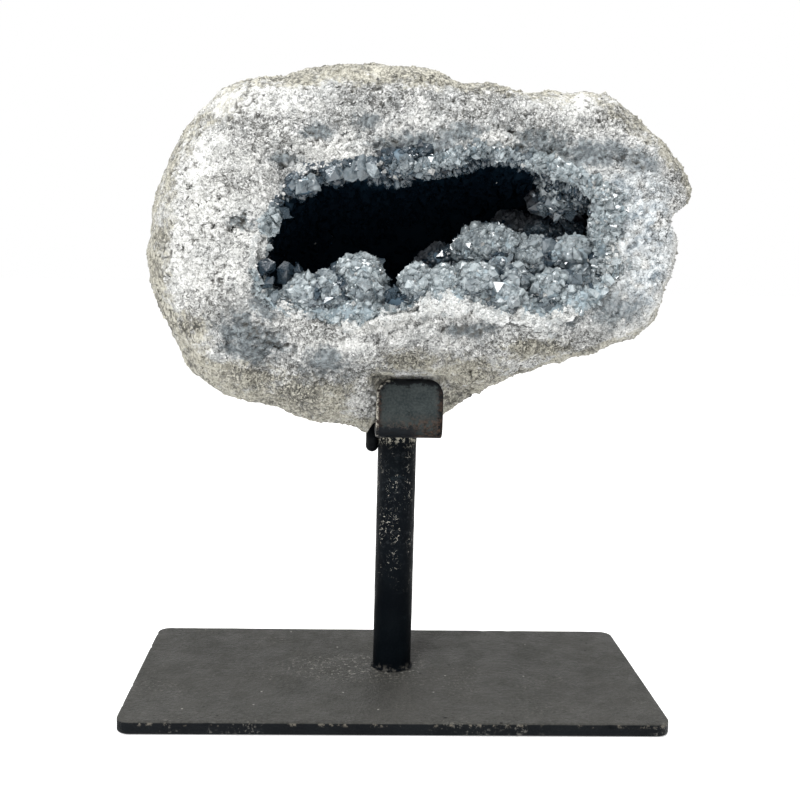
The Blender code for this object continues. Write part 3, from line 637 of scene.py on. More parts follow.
def depth_of(points):
    """0 where daylight reaches the crystals, 1 in the dark of the hollow."""
    x, y, z = points[..., 0], points[..., 1], points[..., 2]
    high = smooth_step(z, 0.228, 0.240)
    right = smooth_step(x, 0.000, 0.030) * (1 - high)
    far_right = smooth_step(x, 0.052, 0.066)
    begin = -0.043 - 0.012 * high * (1 - far_right) + 0.014 * right + 0.010 * high * far_right
    return smooth_step(y - begin, 0.0, 0.020)


def painted_crease_shade(points):
    """Painted shade: 1 in the creases where mounds meet each other, fading to 0 at their crowns."""
    sums = np.zeros(points.shape[:-1])
    for middle, sizes, *_ in MOUNDS:
        away = np.linalg.norm((points - middle) / sizes, axis=-1)
        sums += np.exp(-(((away - 0.9) / 0.28) ** 2))
    return smooth_step(sums, 1.05, 1.9)


def scatter(grid, normals, count, density):
    """Random places on a grid of rings: points, unit normals and indices of the grid's nearest corners."""
    corners = [grid[:-1], np.roll(grid, -1, axis=1)[:-1], grid[1:]]
    area = np.linalg.norm(np.cross(corners[1] - corners[0], corners[2] - corners[0]), axis=-1)
    weight = (area * density[:-1]).reshape(-1)
    chosen = RANDOM.choice(len(weight), size=count, p=weight / weight.sum())
    i, j = np.divmod(chosen, grid.shape[1])
    u, v = RANDOM.random((2, count, 1))
    k = (j + 1) % grid.shape[1]
    points = mix(mix(grid[i, j], grid[i, k], u), mix(grid[i + 1, j], grid[i + 1, k], u), v)
    return points, normals[i, j], (i, j)


def random_directions(count):
    return unit(RANDOM.normal(size=(count, 3)))


def unit(v):
    return v / np.maximum(np.linalg.norm(v, axis=-1, keepdims=True), 1e-12)


# A crystal with four sides and a wedge tip, as (across, deep, height) of its corners. Height 0 is the
# foot, 1 the shoulders and 2 the tip.
WEDGE_CORNERS = np.array((
    (-1, 0, 0), (0, -0.8, 0), (1, 0, 0), (0, 0.8, 0),
    (-1, 0, 1), (0, -0.8, 1), (1, 0, 1), (0, 0.8, 1),
    (-0.42, 0, 2), (0.42, 0, 2),
))
WEDGE_QUADS = np.array((
    (0, 1, 5, 4), (1, 2, 6, 5), (2, 3, 7, 6), (3, 0, 4, 7), (3, 2, 1, 0), (4, 5, 9, 8), (6, 7, 8, 9),
))
WEDGE_TRIS = np.array(((5, 6, 9), (7, 4, 8)))


def make_crystals(name, roots, ways, width, length, looks, material, smooth=False, sink=0.45):
    """One mesh of many crystals. Each stands at its root and points its own way."""
    count = len(roots)
    side = unit(np.cross(ways, random_directions(count)))
    deep = np.cross(ways, side)
    tip = length * RANDOM.uniform(0.9, 1.1, count)
    shoulder = np.maximum(0.25 * tip, tip - width * RANDOM.uniform(0.45, 0.95, count))
    heights = np.stack([-sink * length, shoulder, tip], axis=1)
    corner_height = heights[:, WEDGE_CORNERS[:, 2].astype(int)]
    flat = RANDOM.uniform(0.75, 1.2, count)
    ridge = RANDOM.uniform(0.3, 1.5, (count, 1))
    spread = np.where(WEDGE_CORNERS[:, 2] == 0, 0.8, np.where(WEDGE_CORNERS[:, 2] == 2, ridge, 1.0))
    across = WEDGE_CORNERS[:, 0] * width[:, None] * spread
    back = WEDGE_CORNERS[:, 1] * (width * flat)[:, None] * spread
    points = (
        roots[:, None, :]
        + side[:, None, :] * across[..., None]
        + deep[:, None, :] * back[..., None]
        + ways[:, None, :] * corner_height[..., None]
    )
    points += RANDOM.normal(size=points.shape) * (0.05 * width)[:, None, None]
    offsets = (np.arange(count) * len(WEDGE_CORNERS))[:, None, None]
    quads = (WEDGE_QUADS[None] + offsets).reshape(-1, 4)
    tris = (WEDGE_TRIS[None] + offsets).reshape(-1, 3)
    obj = make_mesh(name, points.reshape(-1, 3), [quads, tris], material, smooth)
    for look, values in looks.items():
        add_attribute(obj, look, np.repeat(values, len(WEDGE_CORNERS)))
    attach(obj, "root")


def grow_crystals(crust, clear, milky):
    """Small crystals over the whole crust, in the light near the mouth and in the dark behind."""
    grid, facing, steps = crust["grid"], crust["facing"], crust["steps"]
    looks = crust_looks(grid, steps)
    lit = 1 - smooth_step(looks["depth"], 0.75, 1.0)
    bare = (1 - 0.85 * looks["white"]) * smooth_step(steps, 0.3, 1.2)
    lower = grid[..., 2] < 0.226
    for name, count, density, scale, material in (
        ("celestite_lower", 2600, lit * bare * lower, 1.15, clear),
        ("celestite_upper", 3900, lit * bare * ~lower, 1.1, clear),
        ("celestite_deep", 2200, (1 - lit) * bare, 1.9, milky),
    ):
        roots, normals, chosen = scatter(grid, facing, count, density + 1e-9)
        ways = unit(normals + 0.38 * random_directions(count))
        width = scale * MM * np.clip(RANDOM.lognormal(-0.1, 0.38, count), 0.4, 2.0)
        length = width * RANDOM.uniform(0.9, 1.8, count)
        # Painted glints: a few crystals are lifted out of the painted shade and given the white colour, and
        # deep in the hollow they are made small.
        glint = RANDOM.random(count) < (0.012 if name == "celestite_deep" else 0.02)
        small = np.where(glint & (looks["depth"][chosen] > 0.8), 0.28, 1.0)
        crystal_looks = {
            "depth": np.where(glint, 0.0, looks["depth"][chosen]),
            "tint": RANDOM.random(count),
            "white": np.where(glint, 1.0, 0.7 * looks["white"][chosen]),
        }
        make_crystals(name, roots, ways, width * small, length * small, crystal_looks, material)


def mound_fields():
    """Each mound as a grid of rings with its normals."""
    rows, count, cut_count = 24, 44, 26
    polar = (np.arange(rows) + 0.5) / rows * math.pi
    turns = TURN * np.arange(count) / count
    ball = np.stack([
        np.sin(polar)[:, None] * np.cos(turns), np.sin(polar)[:, None] * np.sin(turns),
        np.cos(polar)[:, None] * np.ones(count),
    ], axis=-1)
    fields = []
    for middle, sizes, smoothness, shade in MOUNDS:
        cuts = random_directions(cut_count)
        reaches = RANDOM.uniform(0.74, 0.98, cut_count)
        facing_cuts = np.maximum(ball @ cuts.T, 0.05)
        faceted = np.minimum((reaches / facing_cuts).min(axis=-1), 1.1)[..., None]
        grid = middle + ball * sizes * mix(1.0, faceted, smooth_step(smoothness, 0.4, 0.9))
        normals = unit(ball / sizes)
        near = cells_at(grid, 0.0058, (4, 4, 1))[0]
        knobs = 0.0020 * (0.55 - near) + 0.0014 * noise_at(grid, 0.0065, (2, 1, 1))
        grid = grid + normals * (knobs * (1 - smoothness))[..., None]
        fields.append((grid, normals, smoothness, shade))
    return fields


def inside_mounds(points, skip):
    """True where a point lies well inside a mound other than its own."""
    hidden = np.zeros(len(points), dtype=bool)
    for number, (middle, sizes, *_) in enumerate(MOUNDS):
        if number != skip:
            hidden |= np.linalg.norm((points - middle) / sizes, axis=1) < 0.86
    return hidden


def mound_looks(points, normals, shade):
    """Painted light and shade: mounds are lighter at their crowns and darker below, and darker where they lie
    in shade.
    """
    looks = crust_looks(points, np.full(len(points), 4.0))
    painted_light = smooth_step(normals[:, 2] - 0.4 * normals[:, 1], -0.7, 1.0)
    shaded = shade + (1 - shade) * 0.34 * (1 - painted_light)
    looks["depth"] = np.maximum(looks["depth"], shaded * (1 - looks["white"]))
    looks["tint"] = 0.2 + 0.5 * painted_light + 0.25 * looks["tint"]
    return looks


def grow_mounds(milky, clear):
    fields = mound_fields()
    points, normals, shades, quads, caps = [], [], [], [], []
    start = 0
    for grid, facing, smoothness, shade in fields:
        rows, count = grid.shape[:2]
        poles = [grid[0].mean(axis=0), grid[-1].mean(axis=0)]
        points.append(np.concatenate([grid.reshape(-1, 3), poles]))
        normals.append(np.concatenate([facing.reshape(-1, 3), [(0, 0, 1), (0, 0, -1)]]))
        shades.append(np.full(rows * count + 2, shade))
        quads.append(grid_faces(rows, count, start))
        pole = start + rows * count
        caps += [fan(pole, start, count)[:, ::-1], fan(pole + 1, pole - count, count)]
        start = pole + 2
    points, normals, shades = (np.concatenate(group) for group in (points, normals, shades))
    mounds = make_mesh("celestite_mounds", points, [np.concatenate(quads), np.concatenate(caps)], milky)
    for name, values in mound_looks(points, normals, shades).items():
        add_attribute(mounds, name, values)
    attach(mounds, "root")

    roots, ways, widths, shades = [], [], [], []
    for number, (grid, facing, smoothness, shade) in enumerate(fields):
        area = 4 * math.pi * np.prod(MOUNDS[number][1]) ** (2 / 3)
        count = int(area / TIP_AREA * (1 - smoothness))
        seen = 0.05 + smooth_step(-facing[..., 1], -0.5, 0.1)
        root, normal, _ = scatter(grid, facing, count, seen)
        kept = ~inside_mounds(root, number)
        roots.append(root[kept])
        ways.append(normal[kept])
        widths.append(np.full(kept.sum(), 1 + 0.6 * smoothness))
        shades.append(np.full(kept.sum(), shade))
    roots, ways, widths, shades = (np.concatenate(group) for group in (roots, ways, widths, shades))
    count = len(roots)
    looks = mound_looks(roots, ways, shades)
    width = widths * np.clip(RANDOM.lognormal(0.0, 0.45, count), 0.4, 2.3) * TIP_WIDTH
    width *= 1 - 0.35 * looks["white"]
    # Painted glints: a few crystals on mounds out of shade are made narrow, given the white colour and lifted
    # out of the painted shade.
    glint = RANDOM.random(count) < 0.05 * (shades < 0.3)
    width = np.where(glint, 0.55, 1.0) * width
    length = np.where(glint, GLINT_LENGTH, width * RANDOM.uniform(0.45, 1.25, count))
    looks["tint"] = looks["tint"] + RANDOM.normal(0, 0.22, count)
    looks["white"] = np.where(glint, 1.0, looks["white"])
    looks["depth"] = np.clip(looks["depth"] + np.where(glint, -0.2, RANDOM.uniform(-0.06, 0.18, count)), 0, 1)
    ways = unit(ways + 0.30 * random_directions(count))
    rounded = RANDOM.random(count) < 0.25
    for name, some, smooth in (("celestite_knobs", rounded, True), ("celestite_tips", ~rounded, False)):
        some_looks = {look: values[some] for look, values in looks.items()}
        make_crystals(name, roots[some], ways[some], width[some], length[some], some_looks, clear, smooth)


# Larger crystals: root, way they point, half width, length, tint and how much they lie in shade.
LARGE_CRYSTALS = np.array((MM, MM, MM, 1, 1, 1, MM, MM, 1, 1)) * (
    (-20.5, -44, 256, 0.05, -0.35, -1, 5, 7.8, 0.3, 0.28),
    (-25, -44.5, 255, -0.25, -0.4, -1, 3.8, 6.2, 0.5, 0.3),
    (-16.5, -44, 256.5, 0.35, -0.3, -1, 3.8, 7, 0.2, 0.4),
    (-16, -45.5, 254.5, 0.35, -0.5, -0.9, 3.6, 5, 0.7, 0.16),
    (-31, -45.5, 253.5, -0.2, -0.5, -1, 4.2, 4.4, 0.8, 0.16),
    (-10, -43, 259, 0.3, -0.6, -0.9, 2.6, 4.4, 1, 0), (-56, -43, 235, 0.9, -0.5, -0.4, 4.2, 5.6, 0.3, 0.45),
    (-59, -46, 233, 0.5, -0.7, -0.4, 2.2, 4, 1.1, 0), (-60, -44.5, 227, 0.9, -0.5, -0.1, 2.4, 4, 0.5, 0.2),
    (-64, -44, 208.5, 0.5, -0.55, 0.6, 4.2, 8, 0.1, 0.62),
    (-62, -45.5, 202, 0.4, -0.65, 0.6, 3.4, 7.2, 0.2, 0.48),
    (-58.5, -46.5, 196, 0.3, -0.75, 0.5, 3.2, 6.4, 0.3, 0.3),
    (-54, -42, 206, 0.1, -0.4, 0.9, 3.8, 7, 0.1, 0.66), (-48, -40, 206.5, -0.1, -0.4, 1, 3.6, 6.2, 0.2, 0.6),
    (65.5, -38, 257, -0.1, -0.35, -1, 2.6, 8.6, 0.95, 0), (71, -39, 257, 0.2, -0.4, -1, 2.2, 6.2, 0.8, 0.05),
    (62, -38, 257, -0.3, -0.35, -1, 2, 5.8, 0.6, 0.15), (49, -50, 200, 0.2, -0.7, 0.8, 3.6, 5.6, 1.1, 0),
    (56, -40, 203.5, 0, -0.7, 0.7, 4.8, 4.6, 0.1, 0.55), (3, -47, 202, -0.7, -0.6, 0.5, 1.6, 3.2, 1.6, 0),
    (20, -41, 264, -0.2, -0.5, -1, 3.4, 5.2, 0.3, 0.3), (32, -40, 265, 0.1, -0.5, -1, 3, 5, 0.6, 0.15),
    # The last crystal is a painted glint: small, with the lightest tint and no shade.
    (-14, -31, 212, 0.9, -0.3, 0.5, 4.2, 5.6, 0.2, 0.45), (59, -30, 245.5, -0.5, -0.8, 0.2, 1.3, 2.8, 1.6, 0),
)


def grow_large_crystals(material):
    roots, ways = LARGE_CRYSTALS[:, :3], LARGE_CRYSTALS[:, 3:6]
    width, length, tint, shade = LARGE_CRYSTALS[:, 6:].T
    looks = {"depth": np.maximum(0.5 * depth_of(roots), shade), "tint": tint, "white": np.zeros(len(tint))}
    make_crystals("celestite_large", roots, unit(ways), width, length, looks, material)


def grow_hanging_crystals(crust, material):
    """Crystals that hang behind the upper lip, dimmed by painted shade."""
    grid, facing, steps = crust["grid"], crust["facing"], crust["steps"]
    x, z = grid[..., 0], grid[..., 2]
    patchy = smooth_step(noise_at(grid, 0.012, (3, 1, 6)), -0.35, 0.25)
    behind = smooth_step(steps, 2.2, 2.8) * (1 - smooth_step(steps, 3.6, 4.6))
    density = behind * smooth_step(z, 0.236, 0.246) * (0.2 + patchy) * (x < 0.085)
    roots, normals, chosen = scatter(grid, facing, HANGING_COUNT, density + 1e-9)
    reach = patchy[chosen]
    width = RANDOM.uniform(0.0010, 0.0021, HANGING_COUNT)
    length = RANDOM.uniform(0.0016, 0.0034, HANGING_COUNT) + 0.0030 * reach
    ways = unit(normals + (0, -0.5, -0.7) + 0.35 * random_directions(HANGING_COUNT))
    looks = {
        "depth": RANDOM.uniform(0.28, 0.70, HANGING_COUNT), "tint": RANDOM.uniform(0, 0.9, HANGING_COUNT),
        "white": np.zeros(HANGING_COUNT),
    }
    make_crystals("celestite_hanging", roots, ways, width, length, looks, material, smooth=True)


GRAIN_COUNT = 16500
RIM_GRAIN_COUNT = 8000
GRAIN_SIZE = 0.00078
RIM_LOOKS = {"blue": 0, "grey": 0, "mass": 0.25, "chalk": 0.7}
GRAIN_CORNERS = np.array(((1, 0, 0), (-1, 0, 0), (0, 1, 0), (0, -1, 0), (0, 0, 1), (0, 0, -1)), dtype=float)
GRAIN_TRIS = np.array((
    (0, 2, 4), (2, 1, 4), (1, 3, 4), (3, 0, 4), (2, 0, 5), (1, 2, 5), (3, 1, 5), (0, 3, 5),
))


def make_grains(name, field, density, count, material):
    """Angular grains that stand out of the surface, as one mesh."""
    roots, normals, chosen = scatter(field["grid"], field["facing"], count, density)
    size = GRAIN_SIZE * np.clip(RANDOM.lognormal(-0.08, 0.42, count), 0.35, 2.4)
    side = unit(np.cross(normals, random_directions(count)))
    deep = np.cross(normals, side)
    stretch = size[:, None, None] * RANDOM.uniform(0.55, 1.2, (count, 6, 1))
    corners = GRAIN_CORNERS * stretch + RANDOM.normal(size=(count, 6, 3)) * (0.18 * size)[:, None, None]
    axes = np.stack([side, deep, 0.8 * normals], axis=1)
    points = roots[:, None, :] + np.einsum("nck,nkd->ncd", corners, axes)
    tris = (GRAIN_TRIS[None] + (np.arange(count) * 6)[:, None, None]).reshape(-1, 3)
    obj = make_mesh(name, points.reshape(-1, 3), [tris], material, smooth=False)
    for look in ROCK_LOOKS:
        add_attribute(obj, look, np.repeat(field[look][chosen], 6))
    add_attribute(obj, "pit", np.repeat(0.35 * RANDOM.random(count) ** 2, 6))
    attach(obj, "root")


def make_all_grains(face, crust, material):
    grid, share = face["grid"], face["share"][:, None]
    patchy = smooth_step(noise_at(grid, 0.011, (6, 6, 2)), -0.3, 0.3)
    clear = (np.abs(grid[..., 0] - BRACKET_X) > 0.0195) | (grid[..., 2] > TAB_TOP_Z + 0.0035)
    density = (0.10 + face["broken"]) * (0.22 + patchy) * (1 - 0.9 * face["blue"]) * clear * (share < 0.97)
    upper = grid[..., 2] > 0.222
    make_grains("geode_grains_upper", face, density * upper, GRAIN_COUNT, material)
    make_grains("geode_grains_lower", face, density * ~upper, GRAIN_COUNT, material)
    looks = crust_looks(crust["grid"], crust["steps"])
    white = looks["white"] * (looks["depth"] < 0.7)
    rim = {look: np.full(white.shape, value) for look, value in RIM_LOOKS.items()}
    rim |= {"grid": crust["grid"], "facing": crust["facing"], "tan": blob(crust["grid"], "tan")}
    make_grains("rim_grains", rim, white + 1e-9, RIM_GRAIN_COUNT, material)


# Stand


def make_plate(material):
    """The plate as rings from the middle of its top to the middle of its underside."""
    quarter, straight_x, straight_y = 10, 44, 22
    r = PLATE_CORNER_RADIUS
    half_w, half_d = PLATE_WIDTH / 2, PLATE_DEPTH / 2
    upper = [(half_w, t * (half_d - r), 1, 0) for t in np.arange(0, straight_y) / straight_y]
    for a in np.arange(0, quarter) / quarter * math.pi / 2:
        upper.append((half_w - r + r * math.cos(a), half_d - r + r * math.sin(a), math.cos(a), math.sin(a)))
    upper += [((half_w - r) * (1 - t), half_d, 0, 1) for t in np.arange(0, straight_x + 1) / straight_x]
    upper = np.array(upper)
    half = np.concatenate([upper, upper[-2::-1] * (-1, 1, -1, 1)])
    outline = np.concatenate([half, half[-2:0:-1] * (1, -1, 1, -1)])
    edge, outward = outline[:, :2], outline[:, 2:]
    spine = np.stack([np.clip(edge[:, 0], -half_w + half_d, half_w - half_d), np.zeros(len(edge))], axis=1)

    # Each ring's distance in from the edge, its share of the way to the spine, and its height.
    bend, top_z = PLATE_EDGE_ROUND, PLATE_THICKNESS
    profile = [(bend, t, top_z) for t in 1 - np.linspace(0.012, 1, 26) ** 0.8]
    for a in np.linspace(0, math.pi / 2, 6)[1:]:
        profile.append((bend * (1 - math.sin(a)), 0, top_z - bend * (1 - math.cos(a))))
    profile += [(0, 0, z) for z in np.linspace(top_z - bend, bend, 7)[1:]]
    for a in np.linspace(0, math.pi / 2, 5)[1:]:
        profile.append((bend * (1 - math.cos(a)), 0, bend * (1 - math.sin(a))))
    profile += [(0, t, 0) for t in (0.3, 0.7, 0.99)]
    rings = []
    for inset, t, z in profile:
        rings.append(np.column_stack([mix(edge - outward * inset, spine, t), np.full(len(edge), z)]))
    rings = np.array(rings)

    top = rings[..., 2] > top_z - 0.0002
    waves = 0.00016 * noise_at(rings, 0.045, (5, 1, 0)) + 0.00005 * noise_at(rings, 0.009, (2, 2, 0))
    rings[..., 2] += np.where(top, waves - 0.0001, 0)
    chip = smooth_step(noise_at(rings, 0.0035, (1, 9, 3)), 0.42, 0.62)
    rim = (rings[..., 2] > top_z - 0.0022) & (rings[..., 2] < top_z + 0.001)
    past_edge = np.maximum(np.abs(rings[..., 0]) - half_w, np.abs(rings[..., 1]) - half_d)
    chip = np.where(rim, chip * smooth_step(past_edge, -0.0022, -0.0002), 0)
    rings[..., 2] -= 0.0006 * chip
    rings[..., :2] -= outward * (0.0005 * chip)[..., None]

    rows, count = rings.shape[:2]
    quads, ends = [grid_faces(rows, count)], []
    for start, turn in ((0, -1), ((rows - 1) * count, 1)):
        j = np.arange(1, count // 2 - 1)
        cap = np.stack([start + j, start + j + 1, start + count - j - 1, start + count - j], axis=-1)
        tips = start + np.array(((0, 1, count - 1), (count // 2 - 1, count // 2, count // 2 + 1)))
        quads.append(cap[:, ::turn])
        ends.append(tips[:, ::turn])
    faces = [np.concatenate(quads), np.concatenate(ends)]
    plate = make_mesh("plate_steel", rings.reshape(-1, 3), faces, material)
    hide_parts("base_plate")
    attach(plate, "root")


def make_post(material):
    """The round bar with a little unevenness, and the lumpy bead of its weld."""
    low = PLATE_THICKNESS + TOUCH_GAP
    weld_height = POST_WELD * 1.7
    profile = []
    for a in np.linspace(0, math.pi / 2, 8):
        profile.append((POST_RADIUS + POST_WELD * (1 - math.sin(a)), low + weld_height * (1 - math.cos(a))))
    profile += [(POST_RADIUS, z) for z in np.linspace(low + weld_height, POST_TOP_Z - POST_TOP_ROUND, 70)[1:]]
    for a in np.linspace(0, math.pi / 2, 4)[1:]:
        inset, drop = POST_TOP_ROUND * (1 - math.cos(a)), POST_TOP_ROUND * (1 - math.sin(a))
        profile.append((POST_RADIUS - inset, POST_TOP_Z - drop))
    turns = TURN * np.arange(64) / 64
    outward = np.stack([np.cos(turns), np.sin(turns), 0 * turns], axis=-1)
    r, z = np.array(profile).T[..., None, None]
    rings = r * outward + np.concatenate([z * 0 + POST_X, z * 0 + POST_Y, z], axis=-1)
    rough = 0.00008 * noise_at(rings, 0.006, (1, 0, 0)) + 0.00004 * noise_at(rings, 0.0016, (0, 4, 0))
    bead = 0.00045 * np.abs(noise_at(rings, 0.003, (3, 3, 3)))
    bead = bead * smooth_step(low + 0.0034 - rings[..., 2], 0, 0.0016)
    rings = rings + outward * (rough + bead)[..., None]
    post = closed_rings("post_steel", rings, (POST_X, POST_Y, low), (POST_X, POST_Y, POST_TOP_Z), material)
    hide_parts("post")
    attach(post, "root")


def end_reach(distance, radius):
    distance = np.clip(distance, 0, radius)
    return radius - np.sqrt(radius ** 2 - (radius - distance) ** 2)


def make_bracket(material):
    """The bent flat bar, swept with a rounded cross-section."""
    half = BRACKET_THICKNESS / 2
    bend = BEND_OUTER_RADIUS - half
    seat_z = SEAT_UNDERSIDE_Z + half
    tab_y = BRACKET_FRONT_Y + half
    flat = BRACKET_BACK_Y - (tab_y + bend)
    curve = bend * math.pi / 2
    total = flat + curve + TAB_TOP_Z - (seat_z + bend)
    ends = np.array((0.0001, 0.0005, 0.0012, 0.0022, 0.0036, 0.0052, 0.007, 0.009))
    places = np.concatenate([
        ends, np.linspace(0.011, flat, 14)[:-1], flat + curve * np.arange(15) / 14,
        np.linspace(flat + curve, total - 0.0095, 14)[1:], total - ends[::-1],
    ])
    section = []
    for sx, sy, start in ((1, 1, 0), (-1, 1, 90), (-1, -1, 180), (1, -1, 270)):
        section += [(sx, sy, math.cos(a), math.sin(a)) for a in np.radians(start + np.linspace(0, 90, 5))]
    side, face, round_x, round_y = np.array(section).T
    rings = []
    for s in places:
        turn = np.clip((s - flat) / bend, 0, math.pi / 2)
        y = BRACKET_BACK_Y - s if s <= flat else tab_y + bend - bend * math.sin(turn)
        z = seat_z + bend - bend * math.cos(turn) + max(0.0, s - flat - curve)
        narrow = max(end_reach(s, SEAT_END_RADIUS), end_reach(total - s, TAB_CORNER_RADIUS))
        wide = BRACKET_WIDTH / 2 - narrow - BAR_EDGE_ROUND
        upper = half - end_reach(total - s, TAB_TOP_ROUND) - BAR_EDGE_ROUND
        across = side * wide + round_x * BAR_EDGE_ROUND
        deep = np.where(face > 0, upper, -half + BAR_EDGE_ROUND) + round_y * BAR_EDGE_ROUND
        centre = np.array((BRACKET_X, y, z))
        outer = np.array((0, -math.sin(turn), -math.cos(turn)))
        rings.append(centre + across[:, None] * (1, 0, 0) + deep[:, None] * outer)
    rings = np.array(rings)
    # The two wide faces get 14 steps, the narrow edges 4, and the round corners 1.
    fine = []
    for a in range(20):
        steps = {4: 14, 14: 14, 9: 4, 19: 4}.get(a, 1)
        fine += [mix(rings[:, a], rings[:, (a + 1) % 20], t) for t in np.arange(steps) / steps]
    rings = np.stack(fine, axis=1)
    bracket = closed_rings("bracket_steel", rings, rings[0].mean(axis=0), rings[-1].mean(axis=0), material)
    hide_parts("cradle_bracket")
    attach(bracket, "root")


def rod_line():
    """The rod's middle line: straight beside the post, then up the back of the stone."""
    reach = POST_RADIUS + ROD_RADIUS + TOUCH_GAP
    rod_y = POST_Y + math.sqrt(reach ** 2 - (ROD_X - POST_X) ** 2)
    path = [np.array((ROD_X, rod_y, z)) for z in (ROD_LOW_Z + ROD_RADIUS, ROD_STRAIGHT_TOP_Z)]
    angle = np.array([ROD_SPOKE_ANGLE])
    for share in (0.86, 0.78, 0.70, 0.62, 0.54, 0.46):
        here, above, below = (base_ring("back", share + step, angle)[0] for step in (0, -0.02, 0.02))
        out = unit(np.cross((1, 0, 0), above - below))
        out = out if out[1] > 0 else -out
        path.append(here + out * (ROD_RADIUS - 0.0006))
    ends = [path[0] * 2 - path[1], *path, path[-1] * 2 - path[-2]]
    line = []
    for p0, p1, p2, p3 in zip(ends, ends[1:], ends[2:], ends[3:]):
        for t in np.arange(10) / 10:
            near = p1 * ((1 + 2 * t) * (1 - t) ** 2) + p2 * (t * t * (3 - 2 * t))
            line.append(near + (p2 - p0) / 2 * (t * (1 - t) ** 2) - (p3 - p1) / 2 * (t * t * (1 - t)))
    return [*line, path[-1]]


def make_rod(material):
    line = rod_line()
    ways = [unit(line[min(i + 1, len(line) - 1)] - line[max(i - 1, 0)]) for i in range(len(line))]
    first, last = ways[0] * ROD_RADIUS, ways[-1] * ROD_RADIUS
    caps = np.radians((84, 70, 55, 40, 25, 12))
    stations = [(line[0] - first * math.sin(a), ways[0], ROD_RADIUS * math.cos(a)) for a in caps]
    stations += [(place, way, ROD_RADIUS) for place, way in zip(line, ways)]
    stations += [(line[-1] + last * math.sin(a), ways[-1], ROD_RADIUS * math.cos(a)) for a in caps[::-1]]
    turns = TURN * np.arange(28)[:, None] / 28
    rings = []
    for centre, way, radius in stations:
        up = unit(np.cross(way, (1, 0, 0)))
        side = np.cross(up, way)
        rings.append(centre + radius * (np.cos(turns) * side + np.sin(turns) * up))
    rod = closed_rings("prong_steel", np.array(rings), line[0] - first, line[-1] + last, material)
    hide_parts("rear_prong")
    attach(rod, "root")


# Materials


class Nodes:
    """Short names for building the node tree of a material or world."""

    def __init__(self, owner):
        owner.use_nodes = True
        self.owner = owner
        self.tree = owner.node_tree
        self.coordinates = self.add("ShaderNodeTexCoord").outputs
        self.place = self.coordinates["Object"]

    def add(self, kind, inputs=(), **settings):
        node = self.tree.nodes.new(kind)
        for name, value in settings.items():
            setattr(node, name, value)
        self.feed(node, inputs)
        return node

    def feed(self, node, inputs):
        """Links or sets a node's inputs, each to another node's output, a number, a colour or a vector."""
        for name, value in dict(inputs).items():
            socket = node.inputs[name]
            if isinstance(value, bpy.types.NodeSocket):
                self.tree.links.new(value, socket)
            else:
                socket.default_value = (*value, 1) if socket.type == "RGBA" else value

    def surface(self, inputs):
        self.feed(self.tree.nodes["Principled BSDF"], inputs)

    def attribute(self, name):
        return self.add("ShaderNodeAttribute", attribute_name=name).outputs["Fac"]

    def noise(self, size, detail=3.0, rough=0.55, stretch=None, swirl=0.0):
        """Noise whose features are about the given size in metres, from 0 to 1."""
        place = self.place
        if stretch:
            place = self.add("ShaderNodeMapping", {"Scale": stretch, "Vector": place}).outputs["Vector"]
        inputs = {"Vector": place, "Scale": 1 / size, "Detail": detail}
        inputs |= {"Roughness": rough, "Distortion": swirl}
        return self.add("ShaderNodeTexNoise", inputs).outputs["Fac"]

    def cells(self, size):
        return self.add("ShaderNodeTexVoronoi", {"Vector": self.place, "Scale": 1 / size}).outputs["Distance"]

    def ramp(self, value, low, high, out_low=0.0, out_high=1.0):
        inputs = {"Value": value, "From Min": low, "From Max": high, "To Min": out_low, "To Max": out_high}
        return self.add("ShaderNodeMapRange", inputs, interpolation_type="SMOOTHSTEP").outputs["Result"]

    def cloud(self, size, detail, low, high, **more):
        """Noise turned into patches, from 0 at the low value to 1 at the high one."""
        return self.ramp(self.noise(size, detail, **more), low, high)

    def dots(self, size, outer, inner):
        return self.ramp(self.cells(size), outer, inner)

    def math(self, operation, *values):
        return self.add("ShaderNodeMath", enumerate(values), operation=operation).outputs[0]

    def times(self, first, *others):
        for other in others:
            first = self.math("MULTIPLY", first, other)
        return first

    def plus(self, a, b):
        return self.math("ADD", a, b)

    def minus(self, a, b):
        return self.math("SUBTRACT", a, b)

    def most(self, a, b):
        return self.math("MAXIMUM", a, b)

    def patch(self, strength, size):
        """A soft spot's strength turned into a patch with a ragged edge."""
        ragged = self.times(self.minus(self.noise(size, 5, 0.75), 0.5), 2.4)
        return self.ramp(self.plus(strength, ragged), 0.26, 0.86)

    def mix(self, share, a, b, blend="MIX"):
        node = self.add("ShaderNodeMix", {0: share, 6: a, 7: b}, data_type="RGBA", blend_type=blend)
        return node.outputs[2]

    def cover(self, colour, paint, *shares):
        """The colour with paint over it, as strong as the shares multiplied."""
        return self.mix(self.times(*shares), colour, paint)

    def axis(self, name):
        return self.add("ShaderNodeSeparateXYZ", {0: self.place}).outputs[name]

    def bump(self, height, distance):
        node = self.add("ShaderNodeBump", {"Distance": distance, "Height": height})
        self.surface({"Normal": node.outputs["Normal"]})


def white_grain_colour(n, chalk):
    """Chalky white crystal sand with pale grey between."""
    white = n.mix(n.cloud(0.010, 4, 0.36, 0.64), (0.39, 0.40, 0.395), (0.70, 0.70, 0.68))
    white = n.mix(chalk, white, (0.74, 0.74, 0.715))
    grit = n.cloud(0.0030, 4, 0.50, 0.42, rough=0.75, swirl=1.2)
    colour = n.cover(white, (0.13, 0.135, 0.135), grit, n.minus(0.85, n.times(chalk, 0.45)))
    return n.cover(colour, (0.88, 0.88, 0.87), n.cloud(0.0017, 3, 0.54, 0.60, rough=0.7, swirl=1.5), 0.8)


